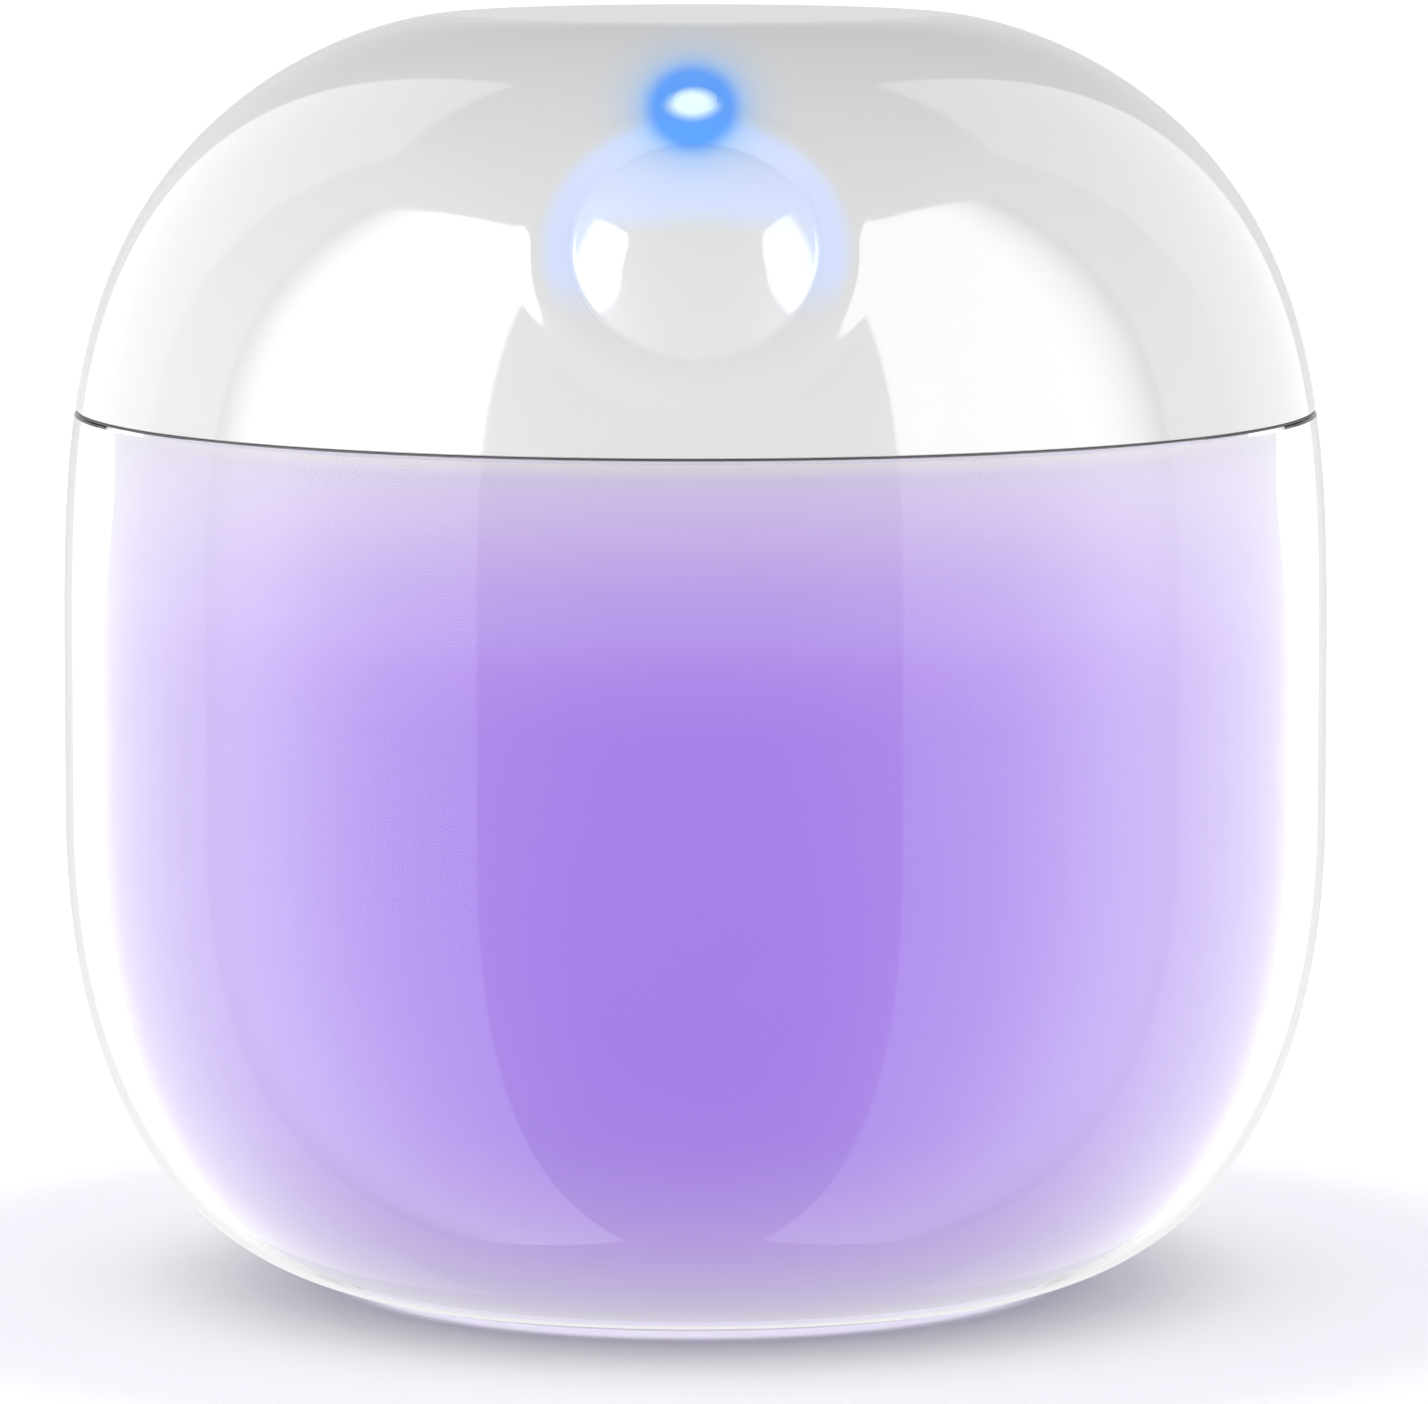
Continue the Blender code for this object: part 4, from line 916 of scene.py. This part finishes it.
# %% Liner, seal and window
liner_bottom, liner_top, liner_radius = 0.0475, 0.0494, 0.03076
dish_start, dish_end = 0.0230, 0.0155
share = np.linspace(0, 1, 40)
run, wave = (dish_end - dish_start) * share, (1 - np.cos(np.pi * share)) / 2
dish_low = np.column_stack([dish_start + run, liner_bottom + 0.0045 * wave])
dish_high = np.column_stack([dish_start + 0.0004 + run, liner_top + 0.0038 * wave])
collar_bottom, collar_top = 0.0532, 0.05575
groove_inner, groove_outer, groove_top = 0.02905, 0.03055, 0.0485
liner_profile = np.concatenate(
    [
        [[0.0085, collar_bottom], [0.0098, collar_bottom], [0.0098, collar_top]],
        [[0.0112, collar_top], [0.0112, collar_bottom]],
        dish_high[::-1],
        [[liner_radius, liner_top], [liner_radius, 0.0477], [liner_radius - 0.0002, liner_bottom]],
        [[groove_outer, liner_bottom], [groove_outer, groove_top]],
        [[groove_inner, groove_top], [groove_inner, liner_bottom]],
        dish_low,
        [[0.0087, 0.0520], [0.0085, 0.0522]],
    ]
)
liner = add_mesh("liner", turned(liner_profile, 192, ring=True))
screw_circle, sink_radius, sink_top = 0.0255, 0.0020, 0.0484
sinks = []
for degrees in (41, 139, 221, 319):
    angle = math.radians(degrees)
    x, y = screw_circle * math.cos(angle), screw_circle * math.sin(angle)
    sinks.append(rod_between((x, y, 0.0465), (x, y, sink_top), sink_radius, 48))
cut(liner, sinks)
finish_piece(liner, white_satin, "lid", "lid_liner")
# The skirt is a dark sheet put into the seam, where there is only shade: it paints the dark line round the
# case.
seam_edge = lid_edge_radius - 0.00006
seal_top, shade_skirt_top, shade_skirt_bottom = 0.04835, 0.04734, 0.04726
seal_profile = [
    [0.0292, seal_top],
    [0.0304, seal_top],
    [0.0304, 0.04775],
    [0.0302, 0.0475],
    [0.0300, shade_skirt_top],
    [seam_edge, shade_skirt_top],
    [seam_edge, shade_skirt_bottom],
    [0.0296, shade_skirt_bottom],
    [0.0294, 0.0475],
    [0.0292, 0.04775],
]
seal_and_shade_skirt = add_mesh("seal_and_shade_skirt", turned(seal_profile, 192, ring=True))
cut(seal_and_shade_skirt, [box_shape((-notch, 0.0306, 0.0460), (notch, 0.0370, 0.0486))])
finish_piece(seal_and_shade_skirt, dark_seal, "lid", "lid_gasket")
window_bottom, window_top = 0.05335, 0.05435
window_profile = [
    [0, window_bottom],
    [0.0093, window_bottom],
    [0.0095, window_bottom + 0.0002],
    [0.0095, window_top - 0.0002],
    [0.0093, window_top],
    [0, window_top],
]
piece("window", turned(window_profile, 96), quartz, "lid", "uvc_window")

# %% [markdown]
# The boards, their parts, the screws and the magnets sit inside the lid, where the CAD's own shape is fine
# enough. They keep their CAD mesh and only get a material here.

# %% Finishes of the CAD nodes that stay
kept = {
    "uvc_board": white_board,
    "control_board": green_board,
    "button_board": green_board,
    "control_chip": chip_finish,
    "lid_sensor": chip_finish,
    "battery": foil,
    "battery_pad": foam,
    "usb_c_socket": steel,
    "indicator_lamp": light_glow,
    "tact_switch": switch_black,
    "switch_stem": switch_black,
}
for name, obj in nodes.items():
    if name in kept:
        finish_of_node = kept[name]
    elif "screw" in name:
        finish_of_node = steel
    elif "magnet" in name:
        finish_of_node = magnet
    elif name.startswith("uvc_lamp"):
        finish_of_node = lamp_package
    else:
        continue
    obj.data.materials.clear()
    obj.data.materials.append(finish_of_node)
print("CAD nodes with new finishes:", len(kept))

# %% [markdown]
# The studio: a pale floor with painted shade round the case, an even pale surround that is a little darker
# overhead, two tall lamps in front that only the glossy surfaces see, and two strips behind for the bright
# edges.

# %% Floor
floor_material = bpy.data.materials.new("floor")
floor_material.use_nodes = True
tree = floor_material.node_tree
shader = tree.nodes["Principled BSDF"]
shader.inputs["Roughness"].default_value = 0.9
shader.inputs["Specular IOR Level"].default_value = 0.0
path = tree.nodes.new("ShaderNodeLightPath")
# Painted shade on the floor: what the camera sees gets extra emission that grows with distance from the case,
# so the floor stays darker close to it and turns white further out.
reach = math_node(tree, "MULTIPLY", distance_from(tree, (0, 0, 0)), 1000)
painted_shade_lifts_near = [(20.0, 0.0), (24.0, 0.04), (28.0, 0.16), (31.0, 0.25)]
painted_shade_lifts_far = [(36.0, 0.30), (43.0, 0.29), (50.0, 0.38), (60.0, 0.55)]
fade = on_ramp(tree, reach, 60.0, [(place, grey(level)) for place, level in painted_shade_lifts_near + painted_shade_lifts_far])
# Near the case a yellow-green tint in the floor's colour offsets the violet light that the chamber throws on
# it: painted light.
spill_cancel_tint = mix_colour(tree, stretch(tree, reach, 26.0, 42.0), (0.88, 0.93, 0.80), (0.90, 0.90, 0.90))
tree.links.new(spill_cancel_tint, shader.inputs["Base Color"])
painted_floor_lift = math_node(tree, "MULTIPLY", path.outputs["Is Camera Ray"], fade)
shader.inputs["Emission Color"].default_value = (1, 1, 1, 1)
tree.links.new(painted_floor_lift, shader.inputs["Emission Strength"])
floor_mesh = bpy.data.meshes.new("floor")
floor_half = 6
corners = [(x * floor_half, y * floor_half, 0) for x, y in ((-1, -1), (1, -1), (1, 1), (-1, 1))]
floor_mesh.from_pydata(corners, [], [(0, 1, 2, 3)])
floor = bpy.data.objects.new("floor", floor_mesh)
bpy.context.scene.collection.objects.link(floor)
floor_mesh.materials.append(floor_material)
floor.location.z = -0.00002
floor.visible_glossy = False
floor.visible_transmission = False

# %% [markdown]
# The surround is a soft studio tent. One level all round would wash the shades out, so it is set apart for
# what is lit, what is mirrored, what shows through the clear bowl, and the white background that the camera
# sees.

# %% Surround
world = bpy.data.worlds.new("studio")
world.use_nodes = True
bpy.context.scene.world = world
tree = world.node_tree
background = tree.nodes["Background"]
path = tree.nodes.new("ShaderNodeLightPath")
direction = tree.nodes.new("ShaderNodeTexCoord").outputs["Generated"]
parts = tree.nodes.new("ShaderNodeSeparateXYZ")
tree.links.new(direction, parts.inputs[0])
upward = math_node(tree, "ADD", math_node(tree, "MULTIPLY", parts.outputs["Z"], 0.5), 0.5)
sideways = math_node(tree, "ABSOLUTE", parts.outputs["X"])


def level_by(tree, value, peak, stops):
    """A level over a value from 0 to 1: a ramp of shares of the peak, times the peak."""
    share = ramp_node(tree, value, [(place, grey(level / peak)) for place, level in stops])
    return math_node(tree, "MULTIPLY", share, peak)


def choose(tree, switch, first, second):
    """The first value where the switch is 0 and the second where it is 1."""
    node = tree.nodes.new("ShaderNodeMix")
    for socket, value in zip(node.inputs[0:1] + node.inputs[2:4], (switch, first, second)):
        if isinstance(value, (int, float)):
            socket.default_value = value
        else:
            tree.links.new(value, socket)
    return node.outputs[0]


side_share = math_node(tree, "MULTIPLY", math_node(tree, "POWER", sideways, 2), 0.44)
side_light = math_node(tree, "ADD", side_share, 0.89)
left_light = math_node(tree, "SUBTRACT", 1.0, math_node(tree, "MULTIPLY", parts.outputs["X"], 0.10))
light_stops = [(0.5, 2.45), (0.6, 2.25), (0.725, 1.0), (0.85, 0.5), (1.0, 0.42)]
height_light = level_by(tree, upward, 2.5, light_stops)
diffuse_level = math_node(tree, "MULTIPLY", math_node(tree, "MULTIPLY", height_light, side_light), left_light)

mirror_stops = [(0.45, 0.95), (0.5, 0.76), (0.6, 0.74), (0.725, 0.5), (1.0, 0.45)]
mirror_height = level_by(tree, upward, 1.0, mirror_stops)
mirror_side = math_node(tree, "MULTIPLY", stretch(tree, sideways, 0.35, 0.6), 0.40)
glossy_level = math_node(tree, "ADD", mirror_height, mirror_side)

steep = math_node(tree, "ABSOLUTE", parts.outputs["Z"])
through_side = math_node(tree, "MULTIPLY", stretch(tree, sideways, 0.25, 0.5), 0.6)
through_height = math_node(tree, "SUBTRACT", 1.0, stretch(tree, steep, 0.45, 0.85))
through_low = level_by(tree, upward, 1.0, [(0.2, 0.85), (0.45, 0.94), (0.6, 1.0)])
through_level = math_node(tree, "ADD", through_low, math_node(tree, "MULTIPLY", through_side, through_height))

level = choose(tree, path.outputs["Is Glossy Ray"], diffuse_level, glossy_level)
level = choose(tree, path.outputs["Is Transmission Ray"], level, through_level)
level = choose(tree, path.outputs["Is Camera Ray"], level, 1.0)
tree.links.new(level, background.inputs["Color"])
background.inputs["Strength"].default_value = 1.0

# %% [markdown]
# Two large panels make the two bright windows on the lid, and two strips behind light the edges of the
# base. They are meshes and not area lamps, so that their light can fade across their width, and they are
# transparent to rays that came through the clear bowl, so that the cup behind it does not mirror them.

# %% Studio lamps


def lamp_panel(name, corners, strength, fade):
    """A flat lamp of four corners that only glossy surfaces see. It fades from its near to its far end."""
    material = bpy.data.materials.new(name)
    material.use_nodes = True
    tree = material.node_tree
    tree.nodes.clear()
    place = tree.nodes.new("ShaderNodeUVMap")
    parts = tree.nodes.new("ShaderNodeSeparateXYZ")
    tree.links.new(place.outputs["UV"], parts.inputs[0])
    level = ramp_node(tree, parts.outputs["X"], [(spot, grey(share)) for spot, share in fade])
    glow = tree.nodes.new("ShaderNodeEmission")
    tree.links.new(math_node(tree, "MULTIPLY", level, strength), glow.inputs["Strength"])
    clear = tree.nodes.new("ShaderNodeBsdfTransparent")
    path = tree.nodes.new("ShaderNodeLightPath")
    mixed = tree.nodes.new("ShaderNodeMixShader")
    tree.links.new(path.outputs["Is Transmission Ray"], mixed.inputs[0])
    tree.links.new(glow.outputs[0], mixed.inputs[1])
    tree.links.new(clear.outputs[0], mixed.inputs[2])
    output = tree.nodes.new("ShaderNodeOutputMaterial")
    tree.links.new(mixed.outputs[0], output.inputs["Surface"])
    mesh = bpy.data.meshes.new(name)
    mesh.from_pydata(corners, [], [(0, 1, 2, 3)])
    layer = mesh.uv_layers.new(name="UVMap")
    layer.data.foreach_set("uv", [0, 0, 1, 0, 1, 1, 0, 1])
    mesh.materials.append(material)
    panel = bpy.data.objects.new(name, mesh)
    bpy.context.scene.collection.objects.link(panel)
    panel.visible_camera = False
    panel.visible_diffuse = False
    panel.visible_transmission = False
    panel.visible_shadow = False


def toward(azimuth, distance, height):
    """A point at an azimuth in degrees (0 is the camera's side, 90 the left), a distance and a height."""
    turn = math.radians(azimuth)
    return (-math.sin(turn) * distance, -math.cos(turn) * distance, height)


def upright_panel(name, near, far, normal, low, high, high_far, strength, fade):
    """A vertical panel 1 m away, square to the azimuth normal. It runs from the azimuth near to far, and from
    the height low to high at its near end and high_far at its far end."""
    near_x, near_y, _ = toward(near, 1 / math.cos(math.radians(near - normal)), 0)
    far_x, far_y, _ = toward(far, 1 / math.cos(math.radians(far - normal)), 0)
    corners = [(near_x, near_y, low), (far_x, far_y, low), (far_x, far_y, high_far), (near_x, near_y, high)]
    lamp_panel(name, corners, strength, fade)


lamp_fade = [(0.0, 1.0), (0.5, 1.0), (0.75, 0.5), (0.9, 0.12), (1.0, 0.0)]
even_light = [(0.0, 1.0), (1.0, 1.0)]
# Each: azimuth near and far, normal, height low, high and high_far, strength, fade.
upright_panel("lamp_left", 38.6, 98.0, 37.0, -4.0, 1.58, 2.3, 7.0, lamp_fade)
upright_panel("lamp_right", -36.5, -96.0, -36.0, -4.0, 1.60, 2.6, 6.0, lamp_fade)
upright_panel("strip_left", 156, 118, 142, -1.5, 1.5, 1.5, 1.5, even_light)
upright_panel("strip_right", -156, -118, -142, -1.5, 1.5, 1.5, 1.4, even_light)

# %% [markdown]
# The camera stands 476 mm in front and 86.5 mm above the table, with the narrow view that the photograph's
# perspective gave.

# %% Camera
camera_data = bpy.data.cameras.new("camera")
camera = bpy.data.objects.new("camera", camera_data)
bpy.context.scene.collection.objects.link(camera)
camera_data.sensor_width = 36.0
camera_data.angle = math.radians(9.205)
camera_data.clip_start = 0.01
camera_distance, camera_height = 0.476, 0.0865
camera.location = (0, -camera_distance, camera_height)
aim = Vector((0.00099, 0, 0.03126))
camera.rotation_euler = (aim - camera.location).to_track_quat("-Z", "Y").to_euler()
bpy.context.scene.camera = camera
bpy.context.scene.view_settings.view_transform = "Standard"
